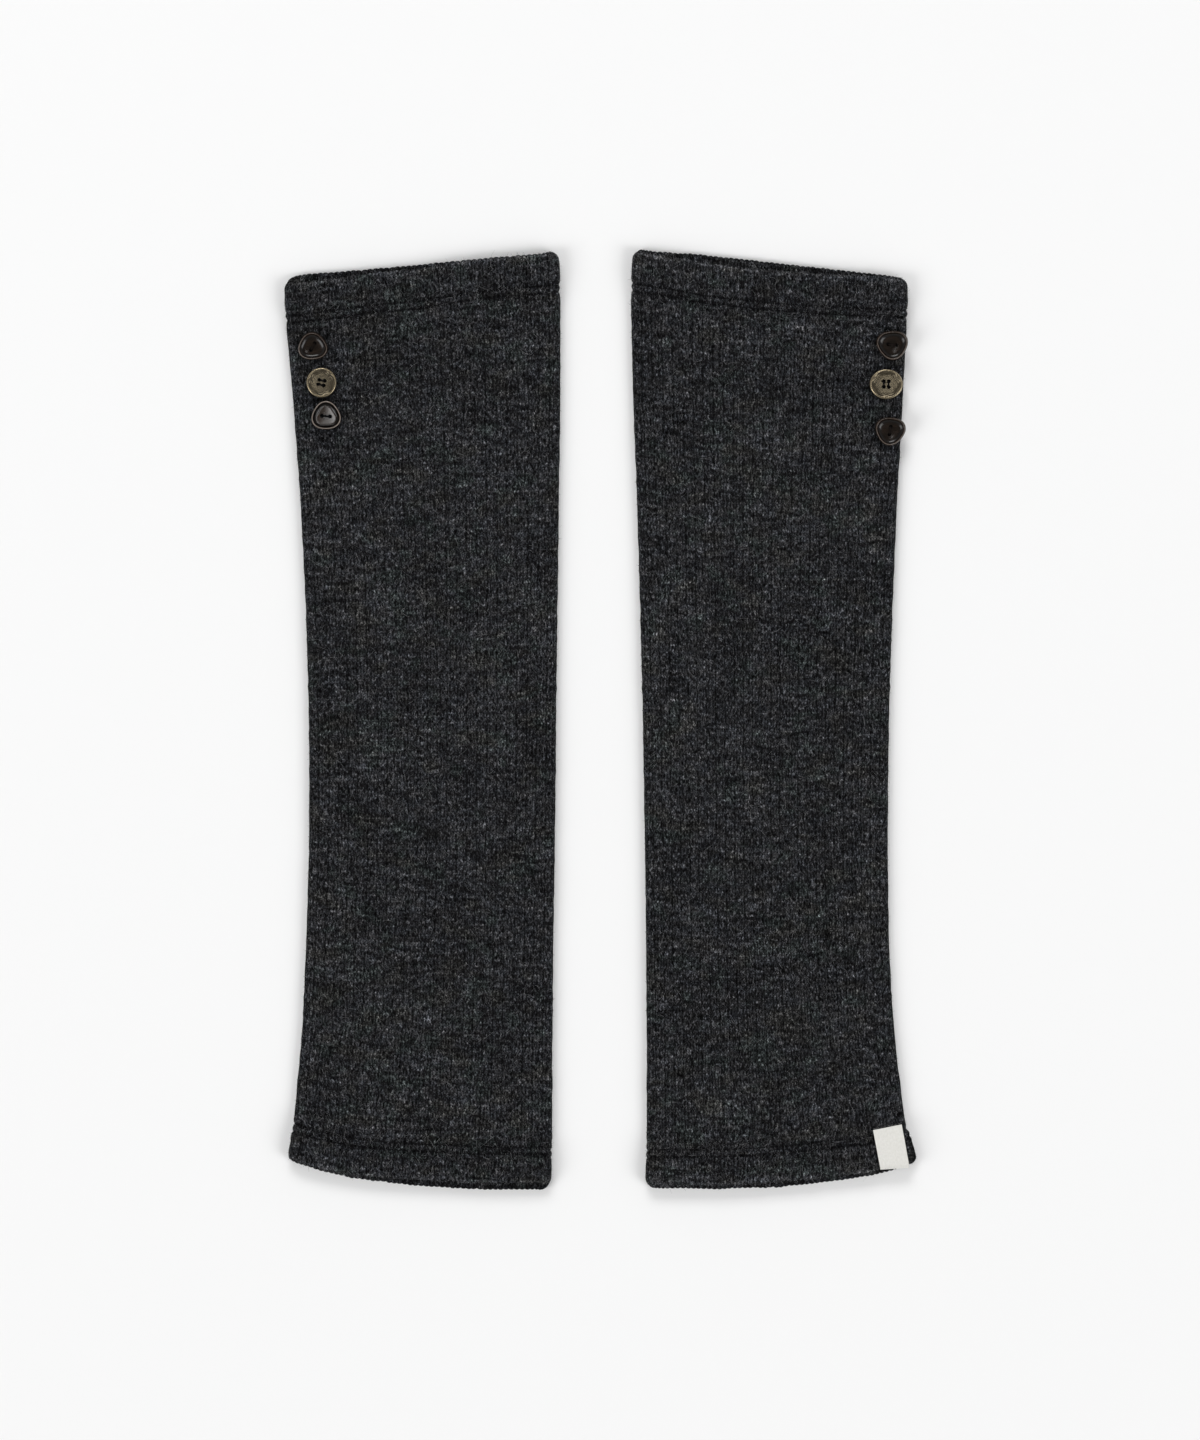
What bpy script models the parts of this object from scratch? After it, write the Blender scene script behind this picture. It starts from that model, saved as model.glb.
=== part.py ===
"""A pair of rib-knit leg warmers, laid flat side by side, with six buttons and a tape label.

Metres, +Z up, with the origin on the surface they lie on, at the middle of the pair.
+X runs from the left leg to the right one, and +Y from the lower hems to the upper ones.
Sizes and tables are in millimetres and are scaled by MM where meshes are made.
"""
from collections import namedtuple
import math

import bmesh
import bpy
from mathutils import Matrix, Vector
from mathutils.bvhtree import BVHTree

MM = 0.001
NAME = "knitted_leg_warmers"

# Cloth
CLOTH_WALL = 1.8
HEM_WALL = 3.0
LAYER_GAP = 0.3
SIDE_ROUND = 2.2
END_ROUND = 2.0
CORNER_RADIUS = 4.2
CORNER_REACH = 11.0
EDGE_BAND = 0.3
SWELL_FADE = 14.0
HEM_DEPTH = 22.5
HEM_LINE_Y = 203.0

# Ribs, three columns of points each, and a plain face's columns, closer where the label draws the hem in
RIB_GROOVE = 0.45
RIB_SHOULDERS = (0.28, 0.72)
EDGE_COLUMN = 0.6
PLAIN_COLUMNS = (0.25, 0.5, 0.75, 0.855, 0.88, 0.93)
BODY_ROWS = 8

# A row of points across a panel, near an end: measured from the panel's own edge or the lower layer's
Row = namedtuple("Row", "edge distance wall")
HEM_ROWS = (
    Row("own", 0.0, HEM_WALL),
    Row("own", 0.6, HEM_WALL),
    Row("own", 2.0, HEM_WALL),
    Row("own", 5.0, HEM_WALL),
    Row("lower", 12.8, HEM_WALL),
    Row("lower", 15.6, HEM_WALL - 0.3),
    Row("lower", 18.5, HEM_WALL - 0.1),
    Row("lower", HEM_DEPTH, CLOTH_WALL),
)

# Plan of a leg: where its inner and outer edges run, and its two hems' edges, lower and upper layer
Section = namedtuple("Section", "y inner outer")
Hem = namedtuple("Hem", "x lower upper")
Swell = namedtuple("Swell", "x y half_x half_y height")
Flare = namedtuple("Flare", "y half_y reach")
Leg = namedtuple("Leg", "name ribs sections top bottom swells flare")

LEFT_LEG = Leg(
    name="left",
    ribs=25,
    sections=(
        Section(-211, -21.9, -140.6),
        Section(-195, -21.5, -140.2),
        Section(-177, -21.4, -137.5),
        Section(-141, -21.3, -134.1),
        Section(-105, -20.9, -132.5),
        Section(-51, -20.1, -130.9),
        Section(3, -19.6, -131.1),
        Section(75, -18.7, -133.4),
        Section(111, -18.2, -135.7),
        Section(147, -17.7, -138.4),
        Section(186, -17.7, -141.8),
        Section(211, -18.4, -142.0),
    ),
    top=(
        Hem(-142, 199.6, 196.8),
        Hem(-120, 201.4, 198.4),
        Hem(-100, 202.8, 201.2),
        Hem(-82, 204.7, 202.6),
        Hem(-60, 206.9, 206.3),
        Hem(-18, 210.3, 210.0),
    ),
    bottom=(
        Hem(-142, -198.2, -197.8),
        Hem(-128, -201.9, -201.0),
        Hem(-115, -205.2, -203.6),
        Hem(-100, -207.8, -205.4),
        Hem(-80, -209.6, -206.6),
        Hem(-50, -211.2, -207.9),
        Hem(-21, -211.1, -207.8),
    ),
    swells=(
        Swell(-88, 128, 30, 42, 0.9),
        Swell(-48, 66, 22, 50, 0.6),
        Swell(-100, 20, 26, 46, 0.7),
        Swell(-60, -48, 26, 44, 0.8),
        Swell(-104, -112, 24, 40, 0.7),
        Swell(-56, -140, 24, 34, 0.9),
    ),
    flare=Flare(-195, 12, 0.0),
)

RIGHT_LEG = Leg(
    name="right",
    ribs=27,
    sections=(
        Section(-211, 20.3, 140.0),
        Section(-195, 20.6, 139.4),
        Section(-177, 21.3, 136.8),
        Section(-141, 20.9, 132.2),
        Section(-105, 20.6, 130.3),
        Section(-51, 20.0, 129.5),
        Section(3, 19.1, 130.2),
        Section(75, 17.3, 132.6),
        Section(111, 16.1, 134.4),
        Section(147, 14.7, 136.5),
        Section(186, 13.8, 138.4),
        Section(211, 14.6, 138.8),
    ),
    top=(
        Hem(14, 211.2, 210.2),
        Hem(36, 210.2, 207.5),
        Hem(50, 208.7, 204.4),
        Hem(66, 206.9, 202.9),
        Hem(86, 204.8, 201.3),
        Hem(109, 202.2, 199.9),
        Hem(130, 199.8, 198.9),
        Hem(139, 198.5, 198.0),
    ),
    bottom=(
        Hem(20, -210.4, -209.0),
        Hem(54, -210.9, -209.0),
        Hem(83, -209.9, -207.4),
        Hem(106, -207.2, -204.8),
        Hem(119.5, -205.1, -203.6),
        Hem(122.6, -204.6, -202.9),
        Hem(125.2, -204.0, -201.3),
        Hem(131, -202.6, -200.9),
        Hem(136, -201.3, -200.6),
        Hem(142, -199.8, -199.5),
    ),
    swells=(
        Swell(60, 140, 26, 38, 0.8),
        Swell(104, 84, 24, 46, 0.7),
        Swell(48, 30, 24, 48, 0.8),
        Swell(98, -30, 28, 44, 0.6),
        Swell(52, -98, 24, 40, 0.9),
        Swell(98, -142, 26, 30, 0.8),
    ),
    flare=Flare(-195, 13, 2.6),
)

# Buttons: plan position and size, then in degrees the turn of their outline and of their thread holes,
# the lean of their face and the side it leans to
Button = namedtuple("Button", "node kind x y width height turn holes lean lean_to")
BUTTONS = (
    Button("left_button_1", "dish", -128.9, 167.8, 13.4, 12.4, 215, 60, 6, 235),
    Button("left_button_2", "lobed", -125.1, 151.5, 13.6, 13.6, 20, -12, 2, 60),
    Button("left_button_3", "dish", -123.1, 136.4, 13.2, 12.8, 92, -5, 3, 40),
    Button("right_button_1", "dish", 131.2, 168.7, 14.2, 13.2, 275, -5, 5, 290),
    Button("right_button_2", "lobed", 128.6, 150.8, 15.0, 13.6, 0, 90, 2, 120),
    Button("right_button_3", "dish", 130.3, 130.1, 13.6, 12.8, 265, 80, 5, 280),
)
BUTTON_SIDES = 24
TRIANGLE_SWELL = 0.065
LOBE_COUNT = 6
LOBE_DEPTH = 0.085
HOLE_SIDES = 10
HOLE_DEPTH = 12.0
CUTTER_NAME = "hole"

# Button sections from the underside's middle to the face's: share of the outline's radius, and height
Ring = namedtuple("Ring", "share height lobes")
DISH_RINGS = (
    Ring(0.50, 0.0, 0),
    Ring(0.82, 0.6, 0),
    Ring(1.00, 2.0, 0),
    Ring(0.99, 2.8, 0),
    Ring(0.93, 3.3, 0),
    Ring(0.86, 3.0, 0),
    Ring(0.64, 1.6, 0),
    Ring(0.40, 1.75, 0),
)
LOBED_RINGS = (
    Ring(0.62, 0.0, 0),
    Ring(0.92, 0.4, 0),
    Ring(1.00, 1.3, 0),
    Ring(0.96, 2.2, 0),
    Ring(0.88, 2.5, 0),
    Ring(0.79, 2.2, 1),
    Ring(0.72, 1.6, 1),
    Ring(0.42, 1.45, 0),
)
DISH_HOLES = ((-1.75, 0.0), (1.75, 0.0))
LOBED_HOLES = ((-1.25, -1.1), (1.25, -1.1), (-1.25, 1.1), (1.25, 1.1))
DISH_HOLE_RADIUS = 0.75
LOBED_HOLE_RADIUS = 0.62

# Label: where its upper corners lie and where it starts to fold round the hem, left and right
LABEL_TOP = ((122.6, -184.2), (135.5, -181.6))
LABEL_FOLD = ((125.5, -199.5), (138.6, -198.7))
LABEL_THICKNESS = 0.5
LABEL_COLUMNS = 6
LABEL_ROWS = 6
LABEL_WRAP_STEPS = 6
LABEL_WRAP = math.radians(125)
LABEL_CLEAR = 0.35
LABEL_PROBE = 2.4
PROBE_HEIGHT = 40.0

CHARCOAL = ((0.024, 0.025, 0.027, 1.0), 0.95, 0.0)
HORN = ((0.035, 0.028, 0.024, 1.0), 0.22, 0.0)
BRASS = ((0.52, 0.43, 0.26, 1.0), 0.28, 1.0)
TAPE = ((0.86, 0.85, 0.82, 1.0), 0.85, 0.0)


def clear_scene():
    """Removes the objects that the file opened with."""
    for item in list(bpy.data.objects):
        bpy.data.objects.remove(item, do_unlink=True)


def new_collection(name):
    """Adds a collection to the scene."""
    collection = bpy.data.collections.new(name)
    bpy.context.scene.collection.children.link(collection)
    return collection


def make_material(name, look):
    """Makes a Principled material from a colour, a roughness and a metallic value."""
    colour, roughness, metallic = look
    material = bpy.data.materials.new(name)
    material.use_nodes = True
    shader = material.node_tree.nodes["Principled BSDF"]
    shader.inputs["Base Color"].default_value = colour
    shader.inputs["Roughness"].default_value = roughness
    shader.inputs["Metallic"].default_value = metallic
    return material


def add_object(name, bm, look, collection):
    """Turns a bmesh in millimetres into a smooth-shaded object in metres."""
    bmesh.ops.scale(bm, vec=(MM, MM, MM), verts=bm.verts)
    bmesh.ops.recalc_face_normals(bm, faces=bm.faces)
    mesh = bpy.data.meshes.new(name)
    bm.to_mesh(mesh)
    bm.free()
    mesh.shade_smooth()
    mesh.set_sharp_from_angle(angle=math.radians(40))
    mesh.materials.append(make_material(name, look))
    item = bpy.data.objects.new(name, mesh)
    collection.objects.link(item)
    return item


def smooth_at(rows, column, at):
    """Reads a smooth curve through a table's rows: the first column is the place, column names the value."""
    places = [row[0] for row in rows]
    values = [getattr(row, column) for row in rows]
    if at <= places[0]:
        return values[0]
    if at >= places[-1]:
        return values[-1]
    last = len(rows) - 1
    slopes = []
    for i in range(len(rows)):
        before = max(i - 1, 0)
        after = min(i + 1, last)
        slopes.append((values[after] - values[before]) / (places[after] - places[before]))
    i = max(k for k in range(last) if places[k] <= at)
    span = places[i + 1] - places[i]
    t = (at - places[i]) / span
    start = (2 * t ** 3 - 3 * t ** 2 + 1) * values[i] + (t ** 3 - 2 * t ** 2 + t) * span * slopes[i]
    end = (3 * t ** 2 - 2 * t ** 3) * values[i + 1] + (t ** 3 - t ** 2) * span * slopes[i + 1]
    return start + end


def fold_round(distance, radius):
    """How far a round fold has turned away at a distance from its edge: 1 on the edge, 0 past the radius."""
    if distance >= radius:
        return 0.0
    return 1.0 - math.sqrt(1.0 - (1.0 - distance / radius) ** 2)


def ordered(rows):
    """A hem or section table with its places in rising order."""
    return tuple(sorted(rows))


def across(leg, y, u):
    """X at a share u of the way from the inner edge to the outer one."""
    rows = ordered(leg.sections)
    inner = smooth_at(rows, "inner", y)
    outer = smooth_at(rows, "outer", y)
    return inner + u * (outer - inner)


def hem_y(leg, end, layer, u):
    """Y of a layer's own edge at the top or bottom hem."""
    line = HEM_LINE_Y if end == "top" else -HEM_LINE_Y
    table = leg.top if end == "top" else leg.bottom
    return smooth_at(ordered(table), layer, across(leg, line, u))


def row_places():
    """Every row of points on a panel, from the bottom edge to the top one, as (end, row or share)."""
    rows = [("bottom", row) for row in HEM_ROWS]
    rows += [("body", (i + 1) / (BODY_ROWS + 1)) for i in range(BODY_ROWS)]
    rows += [("top", row) for row in reversed(HEM_ROWS)]
    return rows


def row_y(leg, layer, place, u):
    """Y of a row's point at u."""
    end, row = place
    bottom = hem_y(leg, "bottom", "lower", u)
    top = hem_y(leg, "top", "lower", u)
    if end == "body":
        return bottom + HEM_DEPTH + row * (top - bottom - 2 * HEM_DEPTH)
    edge = hem_y(leg, end, layer if row.edge == "own" else "lower", u)
    return edge + row.distance if end == "bottom" else edge - row.distance


def end_distance(place):
    """A row's distance from the panel's own end, or a large number away from it."""
    end, row = place
    return row.distance if end != "body" and row.edge == "own" else HEM_DEPTH


def row_wall(place):
    """The cloth's thickness along a row."""
    end, row = place
    return CLOTH_WALL if end == "body" else row.wall


def plan_point(leg, layer, place, u):
    """X and Y of a panel's point, with the corners rounded and the lower layer's corner flared."""
    y = row_y(leg, layer, place, u)
    inner = across(leg, y, 0.0)
    outer = across(leg, y, 1.0)
    x = inner + u * (outer - inner)
    width = abs(outer - inner)
    inset = CORNER_RADIUS * fold_round(end_distance(place), CORNER_RADIUS)
    outward = math.copysign(1.0, outer - inner)
    for edge_share, direction in ((u, outward), (1.0 - u, -outward)):
        reach = edge_share * width
        if reach < CORNER_REACH:
            x += direction * inset * (1.0 - reach / CORNER_REACH) ** 2
    if layer == "lower":
        near = max(0.0, 1.0 - ((y - leg.flare.y) / leg.flare.half_y) ** 2)
        x += outward * leg.flare.reach * near * u ** 12
    return x, y, min(u, 1.0 - u) * width


def swell_height(leg, x, y, side):
    """How far the upper layer stands off the lower one, fading out at the side edges."""
    total = 0.0
    for swell in leg.swells:
        away = ((x - swell.x) / swell.half_x) ** 2 + ((y - swell.y) / swell.half_y) ** 2
        total += swell.height * math.exp(-away)
    return total * min(1.0, side / SWELL_FADE)


def lower_layer_point(leg, place, u, face):
    """A point of the lower layer: its flat underside or its upper face."""
    x, y, side = plan_point(leg, "lower", place, u)
    wall = row_wall(place)
    end_turn = fold_round(end_distance(place), END_ROUND)
    side_turn = fold_round(side, SIDE_ROUND)
    half = (1.0 - EDGE_BAND) / 2
    if face == "under":
        return x, y, wall * (half * end_turn + (1.0 - EDGE_BAND) * side_turn * (1.0 - end_turn))
    return x, y, wall * (1.0 - half * end_turn)


def upper_layer_point(leg, place, u, face, groove=0.0):
    """A point of the upper layer: its plain inner face or its ribbed outer one."""
    x, y, side = plan_point(leg, "upper", place, u)
    wall = row_wall(place)
    end_turn = fold_round(end_distance(place), END_ROUND)
    side_turn = fold_round(side, SIDE_ROUND)
    half = (1.0 - EDGE_BAND) / 2
    base = wall + LAYER_GAP
    if place[0] == "body":
        base += swell_height(leg, x, y, side)
    if face == "under":
        return x, y, base + wall * half * end_turn
    rounded = half * end_turn + (1.0 - EDGE_BAND) * side_turn * (1.0 - end_turn)
    return x, y, base + wall * (1.0 - rounded) - groove * (1.0 - end_turn) * (1.0 - side_turn)


def edge_shares(leg):
    """Column shares of the two rounded side edges: on the edge, close to it, and where it is flat."""
    width = abs(across(leg, 0.0, 1.0) - across(leg, 0.0, 0.0))
    return 0.0, EDGE_COLUMN / width, SIDE_ROUND / width


def plain_columns(leg):
    """Columns of a face with no ribs, each as (share, groove)."""
    start = edge_shares(leg)
    shares = list(start) + list(PLAIN_COLUMNS) + [1.0 - share for share in reversed(start)]
    return [(share, 0.0) for share in shares]


def ribbed_columns(leg):
    """Columns of the ribbed face: two shoulders to a rib and a groove between ribs."""
    edge, near, flat = edge_shares(leg)
    columns = [(edge, 0.0), (near, 0.0)]
    for rib in range(leg.ribs):
        for shoulder in RIB_SHOULDERS:
            columns.append(((rib + shoulder) / leg.ribs, 0.0))
        if rib < leg.ribs - 1:
            columns.append(((rib + 1.0) / leg.ribs, RIB_GROOVE))
    columns += [(1.0 - near, 0.0), (1.0 - edge, 0.0)]
    return columns


def face_grid(bm, leg, columns, point):
    """Adds one face of a panel as a grid of quads and returns its vertices by row."""
    grid = []
    for place in row_places():
        grid.append([bm.verts.new(point(place, share, groove)) for share, groove in columns])
    for low, high in zip(grid, grid[1:]):
        for k in range(len(columns) - 1):
            bm.faces.new((low[k], low[k + 1], high[k + 1], high[k]))
    return grid


def stitch_end(bm, fine, coarse):
    """Closes an end between two rows of points with different counts, both from the same side."""
    i = 0
    k = 0
    while i < len(fine) - 1 or k < len(coarse) - 1:
        fine_next = fine[i + 1].co.x if i < len(fine) - 1 else math.inf
        coarse_next = coarse[k + 1].co.x if k < len(coarse) - 1 else math.inf
        if fine_next <= coarse_next:
            bm.faces.new((fine[i], fine[i + 1], coarse[k]))
            i += 1
        else:
            bm.faces.new((fine[i], coarse[k + 1], coarse[k]))
            k += 1


def close_panel(bm, outer, inner):
    """Joins a panel's outer and inner grids along both sides and both ends."""
    for side in (0, -1):
        for row in range(len(outer) - 1):
            ring = (outer[row][side], outer[row + 1][side], inner[row + 1][side], inner[row][side])
            bm.faces.new(ring)
    for end in (0, -1):
        fine = sorted(outer[end], key=lambda vert: vert.co.x)
        coarse = sorted(inner[end], key=lambda vert: vert.co.x)
        stitch_end(bm, fine, coarse)


def make_lower_layer(leg, collection):
    """The half of a leg's panel that lies on the surface, flat beneath."""
    bm = bmesh.new()
    columns = plain_columns(leg)
    upper = face_grid(bm, leg, columns, lambda row, u, groove: lower_layer_point(leg, row, u, "over"))
    under = face_grid(bm, leg, columns, lambda row, u, groove: lower_layer_point(leg, row, u, "under"))
    close_panel(bm, upper, under)
    return add_object(leg.name + "_back", bm, CHARCOAL, collection)


def make_upper_layer(leg, collection):
    """The half of a leg's panel that faces up: ribs outside, plain inside."""
    bm = bmesh.new()
    outer = face_grid(
        bm, leg, ribbed_columns(leg),
        lambda row, u, groove: upper_layer_point(leg, row, u, "over", groove))
    inner = face_grid(
        bm, leg, plain_columns(leg),
        lambda row, u, groove: upper_layer_point(leg, row, u, "under"))
    close_panel(bm, outer, inner)
    return add_object(leg.name + "_front", bm, CHARCOAL, collection)


def surface_probe(panel):
    """Returns a function that gives the panel's height in mm at a plan position, or None beside it."""
    bm = bmesh.new()
    bm.from_mesh(panel.data)
    tree = BVHTree.FromBMesh(bm)
    bm.free()

    def height_at(x, y):
        hit = tree.ray_cast(Vector((x * MM, y * MM, PROBE_HEIGHT * MM)), Vector((0, 0, -1)))[0]
        return None if hit is None else hit.z / MM

    return height_at


def button_outline(button, angle, share, lobes):
    """A point of a button's outline, or of a ring inside it: a soft triangle or a circle with lobes."""
    swell = TRIANGLE_SWELL * math.cos(3 * angle) if button.kind == "dish" else 0.0
    swell += lobes * LOBE_DEPTH * math.cos(LOBE_COUNT * angle)
    radius = share * (1.0 + swell)
    turned = angle + math.radians(button.turn)
    return button.width / 2 * radius * math.cos(turned), button.height / 2 * radius * math.sin(turned)


def button_lean(button):
    """The turn that leans a button's face towards one side."""
    towards = math.radians(button.lean_to)
    axis = Vector((-math.sin(towards), math.cos(towards), 0.0))
    return Matrix.Rotation(math.radians(button.lean), 4, axis)


def hole_cutter(button, index, place, radius, frame, cutters):
    """A cylinder that cuts one thread hole."""
    turn = math.radians(button.holes)
    x = place[0] * math.cos(turn) - place[1] * math.sin(turn)
    y = place[0] * math.sin(turn) + place[1] * math.cos(turn)
    bpy.ops.mesh.primitive_cylinder_add(
        vertices=HOLE_SIDES, radius=radius * MM, depth=HOLE_DEPTH * MM, location=(0, 0, 0))
    cutter = bpy.context.object
    cutter.name = "_".join((button.node, CUTTER_NAME, str(index + 1)))
    cutter.matrix_world = frame @ Matrix.Translation(Vector((x, y, 0)) * MM)
    cutter.hide_render = True
    cutter.display_type = "WIRE"
    for owner in list(cutter.users_collection):
        owner.objects.unlink(cutter)
    cutters.objects.link(cutter)
    return cutter


def make_button(button, height_at, collection, cutters):
    """A sewn-on button: rings lofted from its underside over its rim into its face, with thread holes."""
    is_dish = button.kind == "dish"
    rings = DISH_RINGS if is_dish else LOBED_RINGS
    bm = bmesh.new()
    loops = []
    for ring in rings:
        loop = []
        for k in range(BUTTON_SIDES):
            x, y = button_outline(button, 2 * math.pi * k / BUTTON_SIDES, ring.share, ring.lobes)
            loop.append(bm.verts.new((x, y, ring.height)))
        loops.append(loop)
    for low, high in zip(loops, loops[1:]):
        for k in range(BUTTON_SIDES):
            after = (k + 1) % BUTTON_SIDES
            bm.faces.new((low[k], low[after], high[after], high[k]))
    bm.faces.new(list(reversed(loops[0])))
    bm.faces.new(loops[-1])
    lean = button_lean(button)
    rise = 0.0
    for vert in bm.verts:
        spot = lean @ vert.co
        height = height_at(button.x + spot.x, button.y + spot.y)
        if height is not None:
            rise = max(rise, height + LAYER_GAP - spot.z)
    item = add_object(button.node, bm, HORN if is_dish else BRASS, collection)
    frame = Matrix.Translation(Vector((button.x, button.y, rise)) * MM) @ lean
    item.matrix_world = frame
    places = DISH_HOLES if is_dish else LOBED_HOLES
    radius = DISH_HOLE_RADIUS if is_dish else LOBED_HOLE_RADIUS
    for index, place in enumerate(places):
        cut = item.modifiers.new(CUTTER_NAME, "BOOLEAN")
        cut.operation = "DIFFERENCE"
        cut.solver = "EXACT"
        cut.object = hole_cutter(button, index, place, radius, frame, cutters)
    return item


def highest_near(height_at, x, y, otherwise):
    """The highest cloth close to a point, so that a tape on ribs lies on their tops."""
    found = [otherwise]
    for step_x in (-LABEL_PROBE, 0.0, LABEL_PROBE):
        for step_y in (-LABEL_PROBE, 0.0, LABEL_PROBE):
            height = height_at(x + step_x, y + step_y)
            if height is not None:
                found.append(height)
    return max(found)


def make_label(leg, height_at, collection):
    """A folded tape that lies on the lower hem and turns under its edge, bare on both sides."""
    hem_middle = HEM_WALL + LAYER_GAP + HEM_WALL / 2
    hem_top = hem_middle + HEM_WALL / 2
    bm = bmesh.new()
    grid = []
    for column in range(LABEL_COLUMNS):
        a = column / (LABEL_COLUMNS - 1)
        top = Vector(LABEL_TOP[0]).lerp(Vector(LABEL_TOP[1]), a)
        fold = Vector(LABEL_FOLD[0]).lerp(Vector(LABEL_FOLD[1]), a)
        line = []
        for step in range(LABEL_ROWS):
            spot = top.lerp(fold, step / LABEL_ROWS)
            height = highest_near(height_at, spot.x, spot.y, hem_top)
            line.append(bm.verts.new((spot.x, spot.y, height + LAYER_GAP)))
        lean = (fold.x - top.x) / (fold.y - top.y)
        for step in range(LABEL_WRAP_STEPS + 1):
            angle = LABEL_WRAP * step / LABEL_WRAP_STEPS
            out = (END_ROUND + LABEL_CLEAR) * math.sin(angle)
            z = hem_middle + (HEM_WALL / 2 + LAYER_GAP) * math.cos(angle)
            line.append(bm.verts.new((fold.x - out * lean, fold.y - out, z)))
        grid.append(line)
    for near, far in zip(grid, grid[1:]):
        for k in range(len(near) - 1):
            bm.faces.new((near[k + 1], far[k + 1], far[k], near[k]))
    item = add_object(leg.name + "_label", bm, TAPE, collection)
    shell = item.modifiers.new("tape", "SOLIDIFY")
    shell.thickness = LABEL_THICKNESS * MM
    shell.offset = 1.0
    return item


def main():
    """Builds both legs, then what is sewn on them."""
    clear_scene()
    collection = new_collection(NAME)
    cutters = new_collection("cutters")
    probes = {}
    for leg in (LEFT_LEG, RIGHT_LEG):
        make_lower_layer(leg, collection)
        probes[leg.name] = surface_probe(make_upper_layer(leg, collection))
    for button in BUTTONS:
        make_button(button, probes[button.node.split("_")[0]], collection, cutters)
    make_label(RIGHT_LEG, probes[RIGHT_LEG.name], collection)


main()
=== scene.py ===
"""The looks of a pair of rib-knit leg warmers, laid flat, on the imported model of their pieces.

Sizes in the tables are in millimetres. Lights, camera and the materials' patterns are in metres.
"""
import math
from collections import namedtuple

import bpy
import numpy as np
from mathutils import Matrix, Vector
from mathutils.bvhtree import BVHTree
from numpy.lib.stride_tricks import sliding_window_view


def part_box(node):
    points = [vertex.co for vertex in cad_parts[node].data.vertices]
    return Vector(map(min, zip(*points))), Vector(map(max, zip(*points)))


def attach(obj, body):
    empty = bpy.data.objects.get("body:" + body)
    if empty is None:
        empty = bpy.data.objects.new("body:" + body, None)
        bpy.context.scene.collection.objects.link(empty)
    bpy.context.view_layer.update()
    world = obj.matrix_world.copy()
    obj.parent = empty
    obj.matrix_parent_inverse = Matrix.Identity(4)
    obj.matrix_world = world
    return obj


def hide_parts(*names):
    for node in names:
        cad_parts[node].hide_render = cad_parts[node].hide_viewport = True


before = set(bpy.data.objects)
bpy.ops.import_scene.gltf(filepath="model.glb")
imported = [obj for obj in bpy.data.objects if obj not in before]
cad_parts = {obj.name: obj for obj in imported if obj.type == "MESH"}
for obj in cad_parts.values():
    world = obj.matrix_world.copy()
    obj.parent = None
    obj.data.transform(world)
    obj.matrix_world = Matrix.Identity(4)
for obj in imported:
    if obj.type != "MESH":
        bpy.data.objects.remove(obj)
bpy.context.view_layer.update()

MM = 0.001

# The photograph's height on the surface, and a camera far above it
PHOTO_TALL = 1440
MM_PER_PIXEL = 0.45
CAMERA_HEIGHT = 3.0
CAMERA_CLIP = (0.1, 40.0)
SENSOR = 36.0

# Studio: how bright the pale room is low down and overhead, and lights: place, size and power
WORLD_HORIZON = 0.75
WORLD_ZENITH = 0.1
LIGHTS = (
    ("right", (3.1, -1.6, 2.7), (2.2, 2.6), 86.0),
    ("left", (-3.2, -1.5, 2.6), (2.0, 2.6), 80.0),
    ("far", (-0.5, 3.4, 2.6), (2.6, 1.4), 88.0),
    ("overhead", (0.075, 0.44, 2.6), (0.12, 0.4), 1.6),
)

# Reading the frame: a layer's end strips, clear of its corners, and the grid of its heights
END_BAND = 12.0
CORNER_MARGIN = 6.0
REFERENCE_Y = 203.0
HEIGHT_MARGIN = 4.0
HEIGHT_ROWS = 160

# Knit: ribs of a layer, wales of a rib, length of a stitch, points across a rib, and its relief
OUTWARD = {"left": -1.0, "right": 1.0}
RIBS = {"left": 25, "right": 27}
WALES_PER_RIB = 3
COURSE = 1.15
FRONT_SAMPLES = 9
BACK_SAMPLES = 6
RIB_DEPTH = 0.42
RIB_CREST = 0.62
WALE_DEPTH = 0.42
INSIDE_RELIEF = 0.25
FOLD_RELIEF = 0.15

# Shape of a leg's tube: its side folds, turned hem edges and rings
FOLD_RADIUS = 2.2
FOLD_STEPS = 5
FOLD_WALL = 1.5
FOLD_MARGIN = 0.4
HEM_RADIUS = 1.6
HEM_STEPS = 4
HEM_ZONE = 24.0
HEM_ROWS = 26
BODY_ROWS = 150
INNER_ROWS = (4.0, 9.0, 18.0)
INNER_BODY_ROWS = 6

# Rounded corners, with the left leg's sharper one, and the seam on the outer fold
CORNER_RADIUS = 4.2
CORNER_REACH = 11.0
LOWER_OUTER_CORNER = {"left": 0.45, "right": 1.0}
SEAM_WIDTH = 0.18
SEAM_DEPTH = 0.22

# Unevenness: how far it goes, its features' size and scale along the leg, and its seed
Uneven = namedtuple("Uneven", "reach size along seed")
SWELLS = (Uneven(0.11, 1.9, 0.7, 0), Uneven(0.10, 5.0, 0.6, 10), Uneven(0.10, 17.0, 1.0, 20))
HEM_SWELL = Uneven(0.16, 3.4, 0.35, 30)
HEM_SWELL_ZONE = (20.0, 3.0)
SWELL_SEEDS = {"left": 11, "right": 12}
RAGGED_SIDES = (Uneven(0.16, 3.1, 1.0, 41), Uneven(0.10, 1.5, 1.0, 42))
WANDER = Uneven(0.22, 7.0, 1.0, 43)
RAGGED_ENDS = Uneven(0.22, 2.6, 1.0, 44)
SCALLOP = 0.24
SCALLOP_DEPTH = 5.0

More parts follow.
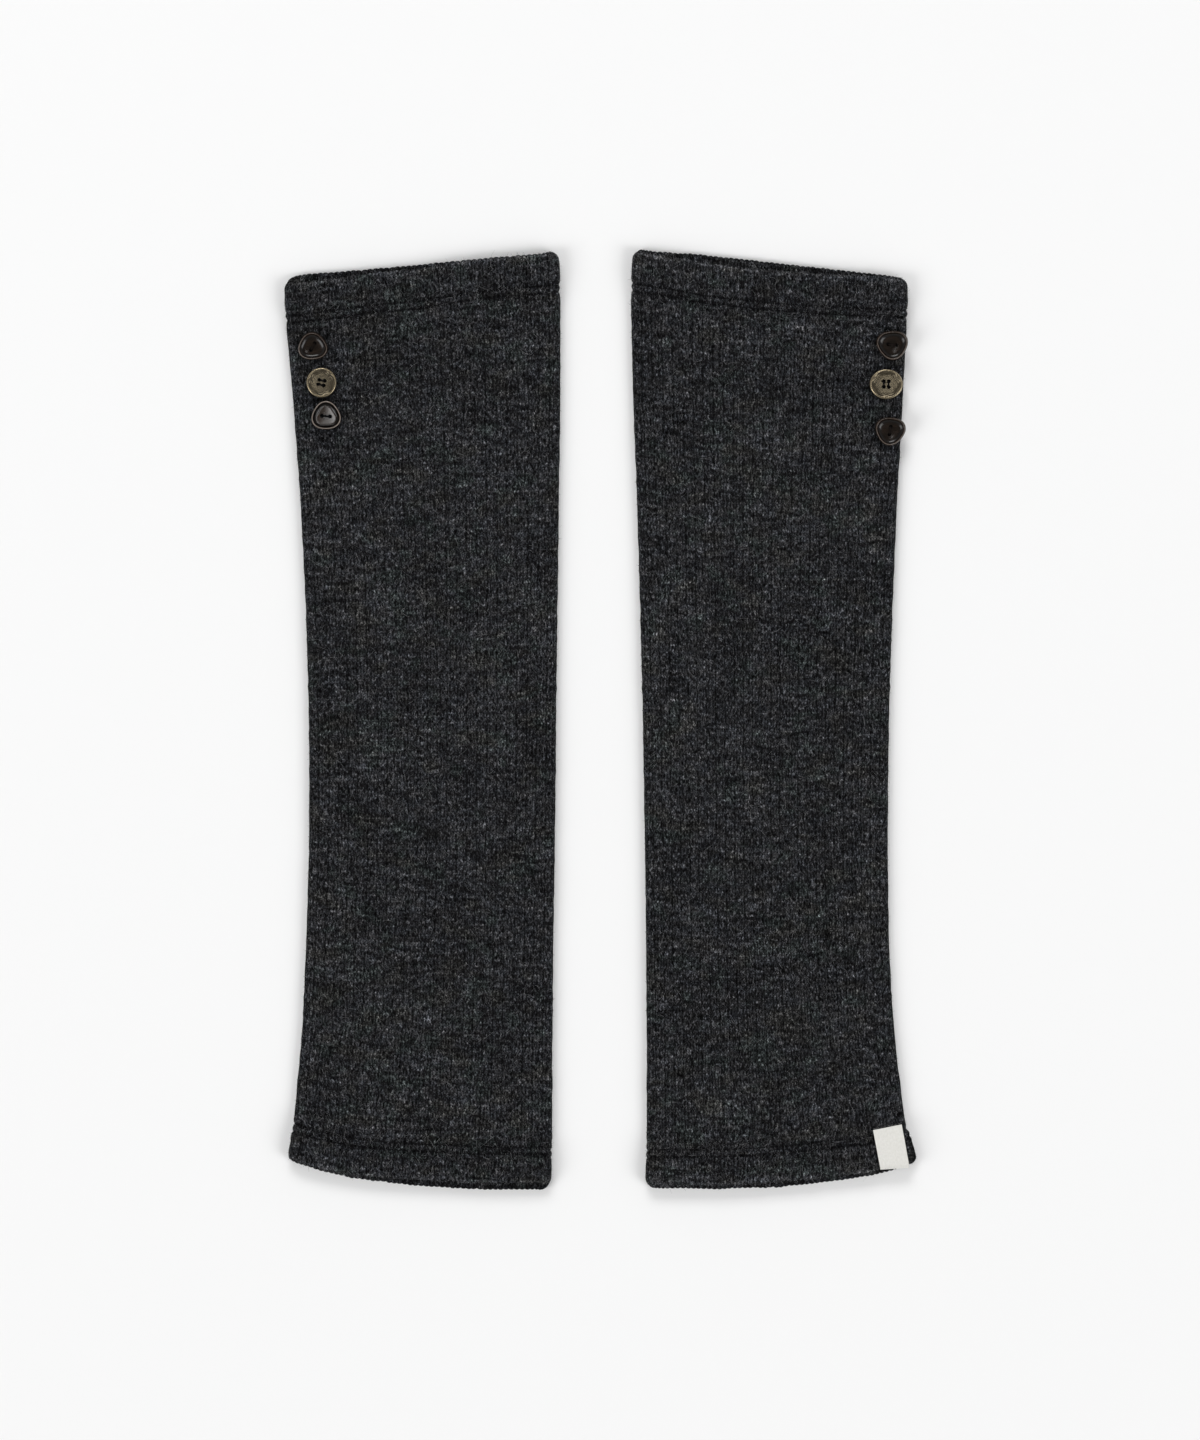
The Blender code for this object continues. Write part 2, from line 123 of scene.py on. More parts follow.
# Twin rows of stitches: how far they lie from the hem's own edge, the rings about them, and the
# depth and width of the dip in the cloth and the notch in its outline
ENDS = {"bottom": -1, "top": 1}
STITCH_ROWS = {"top": (14.6, 17.8), "bottom": (12.9, 16.1)}
STITCH_RINGS = (-0.45, 0.0, 0.45)
STITCH_CLEAR = 0.7
STITCH_TROUGH = (0.6, 0.8)
STITCH_NOTCH = (0.55, 0.8)

# One stitch, with shares of its length and its heights there
STITCH_LENGTH = 2.35
STITCH_PITCH = 2.9
STITCH_RADIUS = 0.2
STITCH_MARGIN = 3.0
STITCH_STEPS = np.array([-0.5, -0.42, -0.2, 0.2, 0.42, 0.5])
STITCH_RISE = np.array([-0.42, -0.12, 0.06, 0.06, -0.12, -0.42])
STITCH_EVENNESS = 0.6

# Light and shade from the cloth's form. A zone is its end and its fade.
INSIDE_SHADE = 0.72
SEAM_SHADE = 0.35
STITCH_SHADE = (0.78, 0.6)
STITCH_SHADE_SPREAD = Uneven(0.3, 2.5, 1.0, 45)
HEM_SHADE = {"left": 0.1, "right": 0.02}
HEM_SHADE_ZONE = (16.0, 4.0)
HEM_TURN_SHADE = 0.2
HEM_LIGHT = 1.25
HEM_LIGHT_PLACE = 0.9
HEM_LIGHT_WIDTH = 0.8
HEM_LIGHT_SPREAD = Uneven(0.45, 4.0, 1.0, 46)
FOLD_SHADE = 0.3
BUTTON_SHADOW = 0.45
BUTTON_SHADOW_WIDTH = 1.1
LABEL_SHADOW = 0.6
LABEL_SHADOW_WIDTH = 0.8

# Loose fibres: count, scatter of roots, turn of headings, shape, scale and least of length, rise, bend
Fibres = namedtuple("Fibres", "count scatter turn shape scale least rise bend")
LAID_FIBRES = Fibres(7000, 0.4, 0.75, 3.0, 0.75, 0.5, (0.05, 0.5), 1.4)
SIDE_FIBRES = Fibres(1900, 0.0, 0.8, 2.2, 0.36, 0.2, (0.0, 0.3), 1.0)
END_FIBRES = Fibres(380, 0.0, 0.8, 2.2, 0.34, 0.2, (0.0, 0.3), 1.0)
FIBRE_RADIUS = 0.03
FIBRE_STEPS = 4
FIBRE_LIFT = 0.02
FIBRE_LOWEST = 0.1

# Buttons, as in the CAD model, in degrees: the turn of their outline and of their thread holes,
# the lean of their face and the side it leans to
Button = namedtuple("Button", "node kind turn hole_turn lean lean_to")
BUTTONS = (
    Button("left_button_1", "bowl", 215, 60, 6, 235),
    Button("left_button_2", "lobed", 20, -12, 2, 60),
    Button("left_button_3", "dish", 92, -5, 3, 40),
    Button("right_button_1", "bowl", 275, -5, 5, 290),
    Button("right_button_2", "lobed", 0, 90, 2, 120),
    Button("right_button_3", "bowl", 265, 80, 5, 280),
)
BUTTON_SIDES = 72
BUTTON_STEPS = 3
SHARP_ANGLE = math.radians(38)
CORNER_SWELL = 0.065
LOBES = 6
LOBE_DEPTH = 0.15
LOBE_MIDDLE = 0.6

# Button sections, from the underside's middle over the rim to the face's:
# share of the radius, height, how far its lobes or corners swell, and its painted light: shade in hollows
# and underneath, highlight and rubbing on the rim
DISH = (
    (0, 0, 0, 0.5), (0.3, 0, 0, 0.5), (0.5, 0.02, 0, 0.5), (0.68, 0.22, 0, 0.5),
    (0.82, 0.62, 0, 0.6), (0.94, 1.3, 0, 0.7), (1, 2, 0, 0.8), (1, 2.5, 0, 1.2),
    (0.99, 2.86, 0, 3.0), (0.967, 3.14, 0, 5.0), (0.94, 3.24, 0, 5.0), (0.912, 3.12, 0, 2.6),
    (0.885, 2.88, 0, 0.3), (0.83, 2.42, 0.3, 0.2), (0.77, 1.98, 0.7, 0.2), (0.715, 1.68, 1.1, 0.3),
    (0.67, 1.61, 1.2, 0.9), (0.6, 1.598, 1.2, 1.3), (0.5, 1.608, 1, 1.4), (0.38, 1.618, 0.7, 1.4),
    (0.2, 1.626, 0.3, 1.2), (0, 1.629, 0, 1.2),
)
BOWL = (
    (0, 0, 0, 0.5), (0.3, 0, 0, 0.5), (0.5, 0.02, 0, 0.5), (0.68, 0.22, 0, 0.5),
    (0.82, 0.62, 0, 0.6), (0.94, 1.3, 0, 0.8), (1, 1.95, 0, 1.2), (1, 2.35, 0, 1.5),
    (0.985, 2.72, 0, 1.2), (0.955, 3.06, 0, 1.5), (0.925, 3.24, 0, 3.4), (0.895, 3.2, 0, 2.3),
    (0.86, 2.96, 0, 0.8), (0.8, 2.52, 0, 0.35), (0.73, 2.16, 0, 0.3), (0.66, 1.94, 0, 0.35),
    (0.6, 1.82, 0, 0.6), (0.5, 1.7, 0, 0.8), (0.38, 1.61, 0, 0.75), (0.2, 1.53, 0, 0.6),
    (0, 1.51, 0, 0.6),
)
LOBED = (
    (0, 0, 0, 0.6), (0.35, 0, 0, 0.6), (0.62, 0.02, 0, 0.6), (0.8, 0.16, 0, 0.6),
    (0.92, 0.44, 0, 0.7), (0.985, 0.9, 0, 0.8), (1, 1.4, 0, 0.9), (0.99, 1.9, 0, 1.6),
    (0.965, 2.24, 0, 2.6), (0.92, 2.46, 0, 2.5), (0.87, 2.44, 0, 1.5), (0.82, 2.3, 0.6, 1.05),
    (0.79, 2.18, 1, 0.95), (0.765, 2, 1, 0.65), (0.735, 1.76, 1, 0.65), (0.7, 1.58, 1, 0.9),
    (0.65, 1.49, 0.7, 1.02), (0.5, 1.45, 0.2, 1.0), (0.3, 1.43, 0, 1.0), (0, 1.42, 0, 1.0),
)
SECTIONS = {"dish": DISH, "bowl": BOWL, "lobed": LOBED}

# Above RIM_LIGHT a section's shade is the rim's painted highlight and rubbing, and the least of it stays
# on the side that leans away
RIM_LIGHT = 1.25
LEAST_RIM_WEAR_AND_HIGHLIGHT = {"dish": 0.75, "bowl": 0.3, "lobed": 0.8}

# Thread holes, in pairs, and their radius. Thread's path: share of the way between a pair, 1 where
# the height is counted from the face, and height.
HOLES = {
    "dish": (((-1.8, 0.0), (1.8, 0.0)), 0.92),
    "bowl": (((-1.75, 0.0), (1.75, 0.0)), 0.75),
    "lobed": (((-1.25, -1.08), (1.25, -1.08), (-1.25, 1.08), (1.25, 1.08)), 0.8),
}
THREAD_PATH = ((0, 0, -1.2), (0, 0, 0.6), (0, 1, -0.05), (0.12, 1, 0.22), (0.5, 1, 0.3),
               (0.88, 1, 0.22), (1, 1, -0.05), (1, 0, 0.6), (1, 0, -1.2))
THREAD_RADIUS = 0.17
THREAD_STRANDS = (-0.19, 0.0, 0.19)

# Label, as in the CAD model: its upper edge and its fold, and how it lies on the hem
LABEL_TOP = np.array([(122.6, -184.2), (135.5, -181.6)])
LABEL_FOLD = np.array([(125.5, -199.5), (138.6, -198.7)])
LABEL_REACH = 2.2
LABEL_CLEAR = 0.3
LABEL_THICK = 0.35
LABEL_COLUMNS = 40
LABEL_ROWS = 56
LABEL_PROBES = [(x, y) for x in (-2.2, 0, 2.2) for y in (-1.2, 1.2)]
LABEL_SMOOTHING = 7
LABEL_LOOSENESS = 0.35
LABEL_SWELL = Uneven(0.05, 4.0, 1.0, 91)
LABEL_WRAP = math.radians(118)
LABEL_WRAP_ROWS = 18

# Stitches along the label's upper edge: shares of it, place, and one's steps along it and heights
LABEL_STITCHES = np.linspace(0.06, 0.94, 8)
LABEL_STITCH_PLACE = np.array([-0.1, 0.55, 0.0])
LABEL_STITCH = ((-0.475, -0.25), (-0.285, -0.026), (-0.095, 0.086),
                (0.095, 0.086), (0.285, -0.026), (0.475, -0.25))
LABEL_STITCH_RADIUS = 0.11


# Numbers

def uneven(kind, x, y, leg_seed=0):
    """Smooth random values on a plane, from minus a kind's reach to its reach."""
    size = 256
    lattice = np.random.default_rng(leg_seed + kind.seed).random((size, size))
    x, y = x / kind.size + 1000.3, y * kind.along / kind.size + 1000.7
    ix, iy = np.floor(x).astype(int), np.floor(y).astype(int)
    fx, fy = smooth(x - ix), smooth(y - iy)
    x0, x1, y0, y1 = ix % size, (ix + 1) % size, iy % size, (iy + 1) % size
    low = lattice[y0, x0] * (1 - fx) + lattice[y0, x1] * fx
    high = lattice[y1, x0] * (1 - fx) + lattice[y1, x1] * fx
    return kind.reach * (2 * (low * (1 - fy) + high * fy) - 1)


def smooth(t):
    """A soft step from 0 to 1."""
    t = np.clip(t, 0, 1)
    return t * t * (3 - 2 * t)


def bell(distance, width):
    """A soft bump, 1 at no distance."""
    return np.exp(-(distance / width) ** 2)


def line_through(places, values):
    """A function through points, carried on straight beyond its ends."""
    start = (values[1] - values[0]) / (places[1] - places[0])
    end = (values[-1] - values[-2]) / (places[-1] - places[-2])

    def read(at):
        inside = np.interp(at, places, values)
        return inside + np.minimum(at - places[0], 0) * start + np.maximum(at - places[-1], 0) * end

    return read


def bilinear(table, row, column):
    """Reads a table between its points."""
    row = np.clip(row, 0, table.shape[0] - 1.001)
    column = np.clip(column, 0, table.shape[1] - 1.001)
    i, k = row.astype(int), column.astype(int)
    fr, fc = row - i, column - k
    low = table[i, k] * (1 - fc) + table[i, k + 1] * fc
    high = table[i + 1, k] * (1 - fc) + table[i + 1, k + 1] * fc
    return low * (1 - fr) + high * fr


# The frame

def box_of(node):
    """Lowest and highest corner of a CAD node in mm."""
    return [np.array(corner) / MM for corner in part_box(node)]


def node_mesh(name):
    """A CAD node's points in mm, its edges and its faces."""
    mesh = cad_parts[name].data
    points = np.empty(len(mesh.vertices) * 3)
    mesh.vertices.foreach_get("co", points)
    edges = np.empty(len(mesh.edges) * 2, dtype=int)
    mesh.edges.foreach_get("vertices", edges)
    faces = [tuple(face.vertices) for face in mesh.polygons]
    return points.reshape(-1, 3) / MM, edges.reshape(-1, 2), faces


def spans(points, edges, axis, places):
    """Lowest and highest place on the other plan axis, in slices across one."""
    a, b = points[edges[:, 0]], points[edges[:, 1]]
    low, high = [], []
    for place in places:
        cut = (a[:, axis] - place) * (b[:, axis] - place) < 0
        share = (place - a[cut, axis]) / (b[cut, axis] - a[cut, axis])
        other = a[cut, 1 - axis] + share * (b[cut, 1 - axis] - a[cut, 1 - axis])
        low.append(other.min())
        high.append(other.max())
    return np.array(low), np.array(high)


def plan_of(points, edges, outward):
    """A layer's outline as four lines: inner and outer edge over Y, bottom and top edge over X."""
    plan = {}
    for end, sign in ENDS.items():
        strip = points[sign * points[:, 1] > (sign * points[:, 1]).max() - END_BAND, 0]
        xs = np.linspace(strip.min() + CORNER_MARGIN, strip.max() - CORNER_MARGIN, num=110)
        plan[end] = line_through(xs, spans(points, edges, 0, xs)[end == "top"])
    lowest = float(plan["bottom"](points[:, 0]).max()) + CORNER_RADIUS
    highest = float(plan["top"](points[:, 0]).min()) - CORNER_RADIUS
    ys = np.linspace(lowest, highest, num=96)
    lefts, rights = spans(points, edges, 1, ys)
    inners, outers = (lefts, rights) if outward > 0 else (rights, lefts)
    plan.update(inner=line_through(ys, inners), outer=line_through(ys, outers))
    return plan


def between(plan, y, share):
    """X at a share of a layer's width."""
    return plan["inner"](y) * (1 - share) + plan["outer"](y) * share


def cast(tree, x, y, up=False):
    """Height of a surface in mm at a plan point, from above or from below."""
    way = Vector((0, 0, 1.0 if up else -1.0))
    hit = tree.ray_cast(Vector((x, y, 0)) - way * 50, way)[0]
    return math.nan if hit is None else hit.z


def read_leg(name):
    """All that a leg's tube needs of the frame: both outlines and the layers' heights along each rib."""
    leg = {"name": name, "outward": OUTWARD[name], "ribs": RIBS[name]}
    trees = {}
    for layer in ("front", "back"):
        points, edges, faces = node_mesh(f"{name}_{layer}")
        leg[layer] = plan_of(points, edges, leg["outward"])
        trees[layer] = BVHTree.FromPolygons([Vector(point) for point in points], faces)
    plan = leg["front"]
    heights = np.zeros((3, HEIGHT_ROWS, leg["ribs"]))
    for k in range(leg["ribs"]):
        share = (k + 0.5) / leg["ribs"]
        low = plan["bottom"](between(plan, -REFERENCE_Y, share)) + HEIGHT_MARGIN
        high = plan["top"](between(plan, REFERENCE_Y, share)) - HEIGHT_MARGIN
        for j, y in enumerate(np.linspace(low, high, HEIGHT_ROWS)):
            x = between(plan, y, share)
            front = trees["front"]
            heights[:, j, k] = cast(front, x, y), cast(front, x, y, up=True), cast(trees["back"], x, y)
    leg["top"], leg["base"], leg["floor"] = heights
    return leg


# Meshes

def add_mesh(name, points, faces, material, uv=None, shade=None):
    """A new object from points in mm, faces, a UV for each face corner and a shade for each point."""
    mesh = bpy.data.meshes.new(name)
    points = np.asarray(points, dtype=float).reshape(-1, 3) * MM
    mesh.from_pydata(points.tolist(), [], faces if isinstance(faces, list) else faces.tolist())
    if uv is not None:
        layer = mesh.uv_layers.new(name="knit")
        layer.data.foreach_set("uv", np.asarray(uv, dtype=np.float32).ravel())
    if shade is not None:
        layer = mesh.attributes.new("shade", "FLOAT", "POINT")
        layer.data.foreach_set("value", np.asarray(shade, dtype=np.float32).ravel())
    mesh.polygons.foreach_set("use_smooth", [True] * len(mesh.polygons))
    mesh.materials.append(material)
    mesh.update()
    piece = bpy.data.objects.new(name, mesh)
    bpy.context.scene.collection.objects.link(piece)
    return piece


def declare(piece, slot, *nodes):
    """Hangs a piece on the root body, which it rides on, and hides the CAD nodes that it stands for; slot,
    its material slot, is not used.
    """
    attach(piece, "root")
    if nodes:
        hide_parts(*nodes)
    return piece


def tree_of(piece):
    """A search tree in mm of a piece's own mesh."""
    points = [vert.co / MM for vert in piece.data.vertices]
    return BVHTree.FromPolygons(points, [tuple(face.vertices) for face in piece.data.polygons])


def tubes(paths, radius, sides, tips=0.6):
    """Points and faces of round threads along paths (count, steps, 3), with closed, slimmer ends."""
    count, steps = paths.shape[:2]
    along = np.gradient(paths, axis=1)
    along /= np.linalg.norm(along, axis=2, keepdims=True)
    no_thread_runs_so = np.array([0.13, 0.21, 0.97])
    across = np.cross(along, no_thread_runs_so)
    across /= np.linalg.norm(across, axis=2, keepdims=True)
    third = np.cross(along, across)
    size = np.ones(steps)
    size[0] = size[-1] = tips
    angle = 2 * np.pi * np.arange(sides)[:, None] / sides
    reach = (np.broadcast_to(radius, count)[:, None] * size)[:, :, None, None]
    ring = np.cos(angle) * across[:, :, None, :] + np.sin(angle) * third[:, :, None, :]
    points = paths[:, :, None, :] + reach * ring
    index = np.arange(count * steps * sides).reshape(count, steps, sides)
    after = np.roll(index, -1, axis=2)
    quads = np.stack([index[:, :-1], after[:, :-1], after[:, 1:], index[:, 1:]], axis=-1)
    faces = quads.reshape(-1, 4).tolist() + index[:, 0, ::-1].tolist() + index[:, -1].tolist()
    return points.reshape(-1, 3), faces


# A leg's tube: a closed wall, all round, whose hems turn in at both ends

def tube_columns(leg):
    """Round the tube: share of the width, mm past it, fold's turn, front's weight, ribs passed, fold."""
    ribs = leg["ribs"]
    width = float(abs(leg["front"]["outer"](0.0) - leg["front"]["inner"](0.0)))
    margin = (FOLD_RADIUS + FOLD_MARGIN) / width
    turns = [math.pi / 2 * k / FOLD_STEPS for k in range(FOLD_STEPS + 1)]
    inner = [(0, FOLD_RADIUS * (1 - math.cos(turn)), turn, -1) for turn in turns]
    outer = [(1, -reach, turn, 1) for _, reach, turn, _ in reversed(inner)]
    columns = []
    for layer, samples, shift in ((1, FRONT_SAMPLES, 0.5), (-1, BACK_SAMPLES, 0.0)):
        shares = [(k + shift) / samples / ribs for k in range(samples * ribs)]
        flat = [(share, 0.0, turns[-1], 0) for share in shares if margin < share < 1 - margin]
        half = inner + flat + outer
        for share, reach, turn, edge in half[:-1] if layer > 0 else half[:0:-1]:
            passed = share + reach / width
            place = (passed if layer > 0 else 2 - passed) * ribs
            columns.append((share, reach, turn, 0.5 + 0.5 * layer * math.sin(turn), place, edge))
    return np.array(columns, dtype=float)


def hem_distances(end):
    """Ring places across a hem, with one on each stitch row and one at each side of it."""
    even = [HEM_RADIUS + (HEM_ZONE - HEM_RADIUS) * k / HEM_ROWS for k in range(HEM_ROWS)]
    on_rows = [row + step for row in STITCH_ROWS[end] for step in STITCH_RINGS]
    clear = [place for place in even
             if min(abs(place - row) for row in STITCH_ROWS[end]) > STITCH_CLEAR]
    return sorted(clear + on_rows)


def tube_rings():
    """Along the tube: end (-1, 0, 1), mm from it or share of the body, outer or inner face, hem's turn."""
    turns = [math.pi / 2 * (1 - k / HEM_STEPS) for k in range(HEM_STEPS)]
    inner = (HEM_RADIUS,) + INNER_ROWS

    def turned(end, face, angles):
        return [(end, HEM_RADIUS * (1 - math.sin(turn)), face, turn) for turn in angles]

    def flat(end, face, places):
        return [(end, place, face, 0.0) for place in places]

    rings = turned(-1, 1, turns) + flat(-1, 1, hem_distances("bottom"))
    rings += flat(0, 1, np.linspace(0, 1, BODY_ROWS)) + flat(1, 1, hem_distances("top")[::-1])
    rings += turned(1, 1, turns[::-1]) + turned(1, -1, turns[1:]) + flat(1, -1, inner)
    rings += flat(0, -1, np.linspace(1, 0, INNER_BODY_ROWS)) + flat(-1, -1, inner[::-1])
    return np.array(rings + turned(-1, -1, turns[:0:-1]))


class Grid:
    """The tube's points, rings along it by columns round it, and what is known of each."""

    def __init__(self, leg):
        columns, rings = tube_columns(leg).T[:, None, :], tube_rings().T[:, :, None]
        self.share, self.reach, self.turn, self.weight, self.place, self.edge = columns
        self.end, self.along, self.face, self.hem_turn = rings
        self.distance = np.where(self.end == 0, HEM_ZONE, self.along)
        self.fullness = np.sin(self.turn)
        self.sideways = leg["outward"] * self.edge * np.cos(self.turn)
        self.is_front = self.weight >= 0.5
        self.is_inside = self.face < 0
        self.at_seam = bell(self.place - leg["ribs"], SEAM_WIDTH)

    def at_stitches(self, depth, width):
        """A bump along each row of stitches."""
        rows = [(side, row) for end, side in ENDS.items() for row in STITCH_ROWS[end]]
        return sum(depth * bell(self.distance - row, width) * (self.end == side) for side, row in rows)

    def in_hem(self, zone, fade):
        """1 near the tube's ends and 0 beyond a zone."""
        return smooth((zone - self.distance) / fade) * (self.end != 0)


def side_edge(leg, grid, line, y):
    """A side edge's X: each layer's own on its flat, and the further one at the fold."""
    front, back = leg["front"][line](y), leg["back"][line](y)
    reach = leg["outward"] if line == "outer" else -leg["outward"]
    fold = np.maximum(front * reach, back * reach) * reach
    own = np.where(grid.is_front, front, back)
    return fold + (own - fold) * grid.fullness


def corner_inset(leg, grid, from_inner, width):
    """How far the rounded corners draw the outline in."""
    corner = np.clip(1 - grid.distance / CORNER_RADIUS, 0, 1)
    inset = CORNER_RADIUS * (1 - np.sqrt(1 - corner ** 2))
    near_inner = np.clip(1 - from_inner / CORNER_REACH, 0, 1) ** 2
    near_outer = np.clip(1 - (width - from_inner) / CORNER_REACH, 0, 1) ** 2
    sharper = np.where(grid.end < 0, LOWER_OUTER_CORNER[leg["name"]], 1.0)
    return inset * (near_inner - near_outer * sharper)


def plan_points(leg, grid):
    """Where the tube's points lie in plan, and Y at both ends of its columns."""

    def mixed(line, at):
        return grid.weight * leg["front"][line](at) + (1 - grid.weight) * leg["back"][line](at)

    def column_end(end):
        y = ENDS[end] * REFERENCE_Y
        inner, outer = mixed("inner", y), mixed("outer", y)
        return mixed(end, inner + leg["outward"] * (grid.share * np.abs(outer - inner) + grid.reach))

    bottom, top = column_end("bottom"), column_end("top")
    body = bottom + HEM_ZONE + grid.along * (top - bottom - 2 * HEM_ZONE)
    y = np.where(grid.end == 0, body, np.where(grid.end < 0, bottom + grid.along, top - grid.along))
    inner, outer = (side_edge(leg, grid, line, y) for line in ("inner", "outer"))
    width = np.abs(outer - inner)
    wall = np.where(grid.is_inside, -grid.edge * FOLD_WALL * (1 - grid.fullness), 0.0)
    from_inner = grid.share * width + grid.reach + wall
    x = inner + leg["outward"] * (from_inner + corner_inset(leg, grid, from_inner, width))
    return x, y, bottom, top


def layer_heights(leg, grid, y, bottom, top):
    """Heights of the tube's outer and inner face, from those of the CAD layers."""
    row = (y - bottom - HEIGHT_MARGIN) / (top - bottom - 2 * HEIGHT_MARGIN) * (HEIGHT_ROWS - 1)
    column = np.where(grid.place <= leg["ribs"], grid.place, 2 * leg["ribs"] - grid.place) - 0.5
    crest, base, floor = (bilinear(leg[key], row, column) for key in ("top", "base", "floor"))
    middle = (base + floor) / 2
    over, under = middle + (crest - middle) * grid.fullness, middle * (1 - grid.fullness)
    outer = np.where(grid.is_front, over, under)
    inner = middle + (np.where(grid.is_front, base, floor) - middle) * grid.fullness
    return outer, inner


def knit_relief(leg, grid, x, y):
    """How far the cloth's face lies below its ribs' crests."""
    rib = np.abs(grid.place % 1 - 0.5) * 2
    wale = np.abs(grid.place * WALES_PER_RIB % 1 - 0.5) * 2
    relief = RIB_DEPTH * smooth((rib - RIB_CREST) / (1 - RIB_CREST)) + WALE_DEPTH * wale ** 2
    relief = relief + grid.at_stitches(*STITCH_TROUGH)
    seed = SWELL_SEEDS[leg["name"]]
    for swell in SWELLS:
        relief = relief - uneven(swell, x, y, seed)
    relief = relief - grid.in_hem(*HEM_SWELL_ZONE) * uneven(HEM_SWELL, x, y, seed)
    relief = np.where(grid.is_inside, INSIDE_RELIEF * relief, relief + SEAM_DEPTH * grid.at_seam)
    relief = np.where(grid.is_front, relief, np.maximum(relief, 0.0))
    return relief * np.cos(grid.hem_turn) * (FOLD_RELIEF + (1 - FOLD_RELIEF) * grid.fullness)


def contact_shade(leg, x, y):
    """Painted shadow on the cloth close round the buttons and the label."""
    shade = np.ones(x.shape)
    for button in BUTTONS:
        if button.node.startswith(leg["name"]):
            low, high = box_of(button.node)
            centre, half = (low + high) / 2, (high - low) / 2
            away = np.hypot((x - centre[0]) / half[0], (y - centre[1]) / half[1]) - 1
            near = bell(np.maximum(away, 0) * half[0], BUTTON_SHADOW_WIDTH)
            shade = shade * (1 - BUTTON_SHADOW * near)
    if leg["name"] == "right":
        corners = np.concatenate([LABEL_TOP, LABEL_FOLD[::-1]])
        inside = np.inf
        for a, b in zip(corners, np.roll(corners, -1, axis=0)):
            side = (b - a) / np.linalg.norm(b - a)
            inside = np.minimum(inside, (x - a[0]) * side[1] - (y - a[1]) * side[0])
        shade = shade * (1 - LABEL_SHADOW * bell(np.maximum(-inside, 0), LABEL_SHADOW_WIDTH))
    return shade


def cloth_shade(leg, grid, x, y):
    """How light the yarn looks by where it lies."""
    shade = np.where(grid.is_inside, INSIDE_SHADE, 1.0) * (1 - SEAM_SHADE * grid.at_seam)
    shade = shade * (1 - grid.at_stitches(*STITCH_SHADE) * (1 + uneven(STITCH_SHADE_SPREAD, x, y)))
    shade = shade * (1 - HEM_SHADE[leg["name"]] * grid.in_hem(*HEM_SHADE_ZONE))
    shade = shade * np.where(grid.is_inside, 1.0, 1 - HEM_TURN_SHADE * (1 - np.cos(grid.hem_turn)))
    lit = HEM_LIGHT + uneven(HEM_LIGHT_SPREAD, x, y)
    lit = lit * bell(grid.distance - HEM_LIGHT_PLACE, HEM_LIGHT_WIDTH)
    shade = shade * np.where(grid.is_front & ~grid.is_inside, 1 + lit, 1.0)
    shade = shade * (1 - FOLD_SHADE * (1 - grid.fullness))
    return shade * np.where(grid.is_front, contact_shade(leg, x, y), 1.0)


def rough_edges(grid, x, y):
    """Ragged sides, notched by the stitch rows, and scalloped ends."""
    ragged = sum(uneven(kind, y, 0 * y) for kind in RAGGED_SIDES)
    ragged = ragged - grid.at_stitches(*STITCH_NOTCH)
    x = x + grid.sideways * ragged
    x = x + grid.fullness * uneven(WANDER, x, y) * (grid.edge == 0)
    two_per_rib = np.cos(2 * np.pi * 2 * grid.place)
    wave = SCALLOP * two_per_rib + uneven(RAGGED_ENDS, x, y)
    y = y - grid.end * wave * np.clip(1 - grid.distance / SCALLOP_DEPTH, 0, 1) * grid.fullness
    return x, y


def stitch_places(leg, grid, points):
    """A UV for each corner of each quad: wales counted round the tube and courses along it."""
    line = points[:, points.shape[1] // 4]
    steps = np.linalg.norm(np.diff(line, axis=0, append=line[:1]), axis=1)
    course = np.concatenate([[0.0], np.cumsum(steps)]) / COURSE
    wale = np.concatenate([grid.place[0], [2.0 * leg["ribs"]]]) * WALES_PER_RIB
    u = np.stack([wale[:-1], wale[1:], wale[1:], wale[:-1]], axis=-1)[None, :, :]
    v = np.stack([course[:-1], course[:-1], course[1:], course[1:]], axis=-1)[:, None, :]
    return np.stack(np.broadcast_arrays(u, v), axis=-1)


def make_tube(leg, material):
    """One leg as a closed tube of knitted cloth."""
    grid = Grid(leg)
    x, y, bottom, top = plan_points(leg, grid)
    outer, inner = layer_heights(leg, grid, y, bottom, top)
    relief = knit_relief(leg, grid, x, y)
    outer = outer - relief * np.where(grid.is_front, 1.0, -1.0) * grid.fullness
    x = x - np.where(grid.is_inside, 0.0, relief * grid.sideways)
    centre = (outer + inner) / 2
    z = centre + (np.where(grid.is_inside, inner, outer) - centre) * np.cos(grid.hem_turn)
    shade = cloth_shade(leg, grid, x, y)
    x, y = rough_edges(grid, x, y)

    points = np.stack([x, y, z], axis=-1)
    uv = stitch_places(leg, grid, points)
    index = np.arange(z.size).reshape(z.shape)
    right, up = np.roll(index, -1, axis=1), np.roll(index, -1, axis=0)
    corners = np.stack([index, right, np.roll(up, -1, axis=1), up], axis=-1)
    if leg["outward"] < 0:
        corners, uv = corners[:, :, ::-1], uv[:, :, ::-1]
    piece = add_mesh(leg["name"] + "_leg_knit", points, corners.reshape(-1, 4), material, uv, shade)
    leg.update(grid=grid, points=points)
    return declare(piece, "knit", leg["name"] + "_front", leg["name"] + "_back")


def fibre_paths(root, heading, length, rise, bend):
    """Fibres as bent, arched lines through their roots."""
    t = np.linspace(0, 1, FIBRE_STEPS)
    along, aside = np.outer(length, t - 0.5), np.outer(bend, (t - 0.5) ** 2)
    cos, sin = np.cos(heading)[:, None], np.sin(heading)[:, None]
    lift = FIBRE_LIFT + np.outer(rise, np.sin(np.pi * np.clip(t * 1.1, 0, 1)))
    return root[:, None, :] + np.stack([along * cos - aside * sin, along * sin + aside * cos, lift], -1)


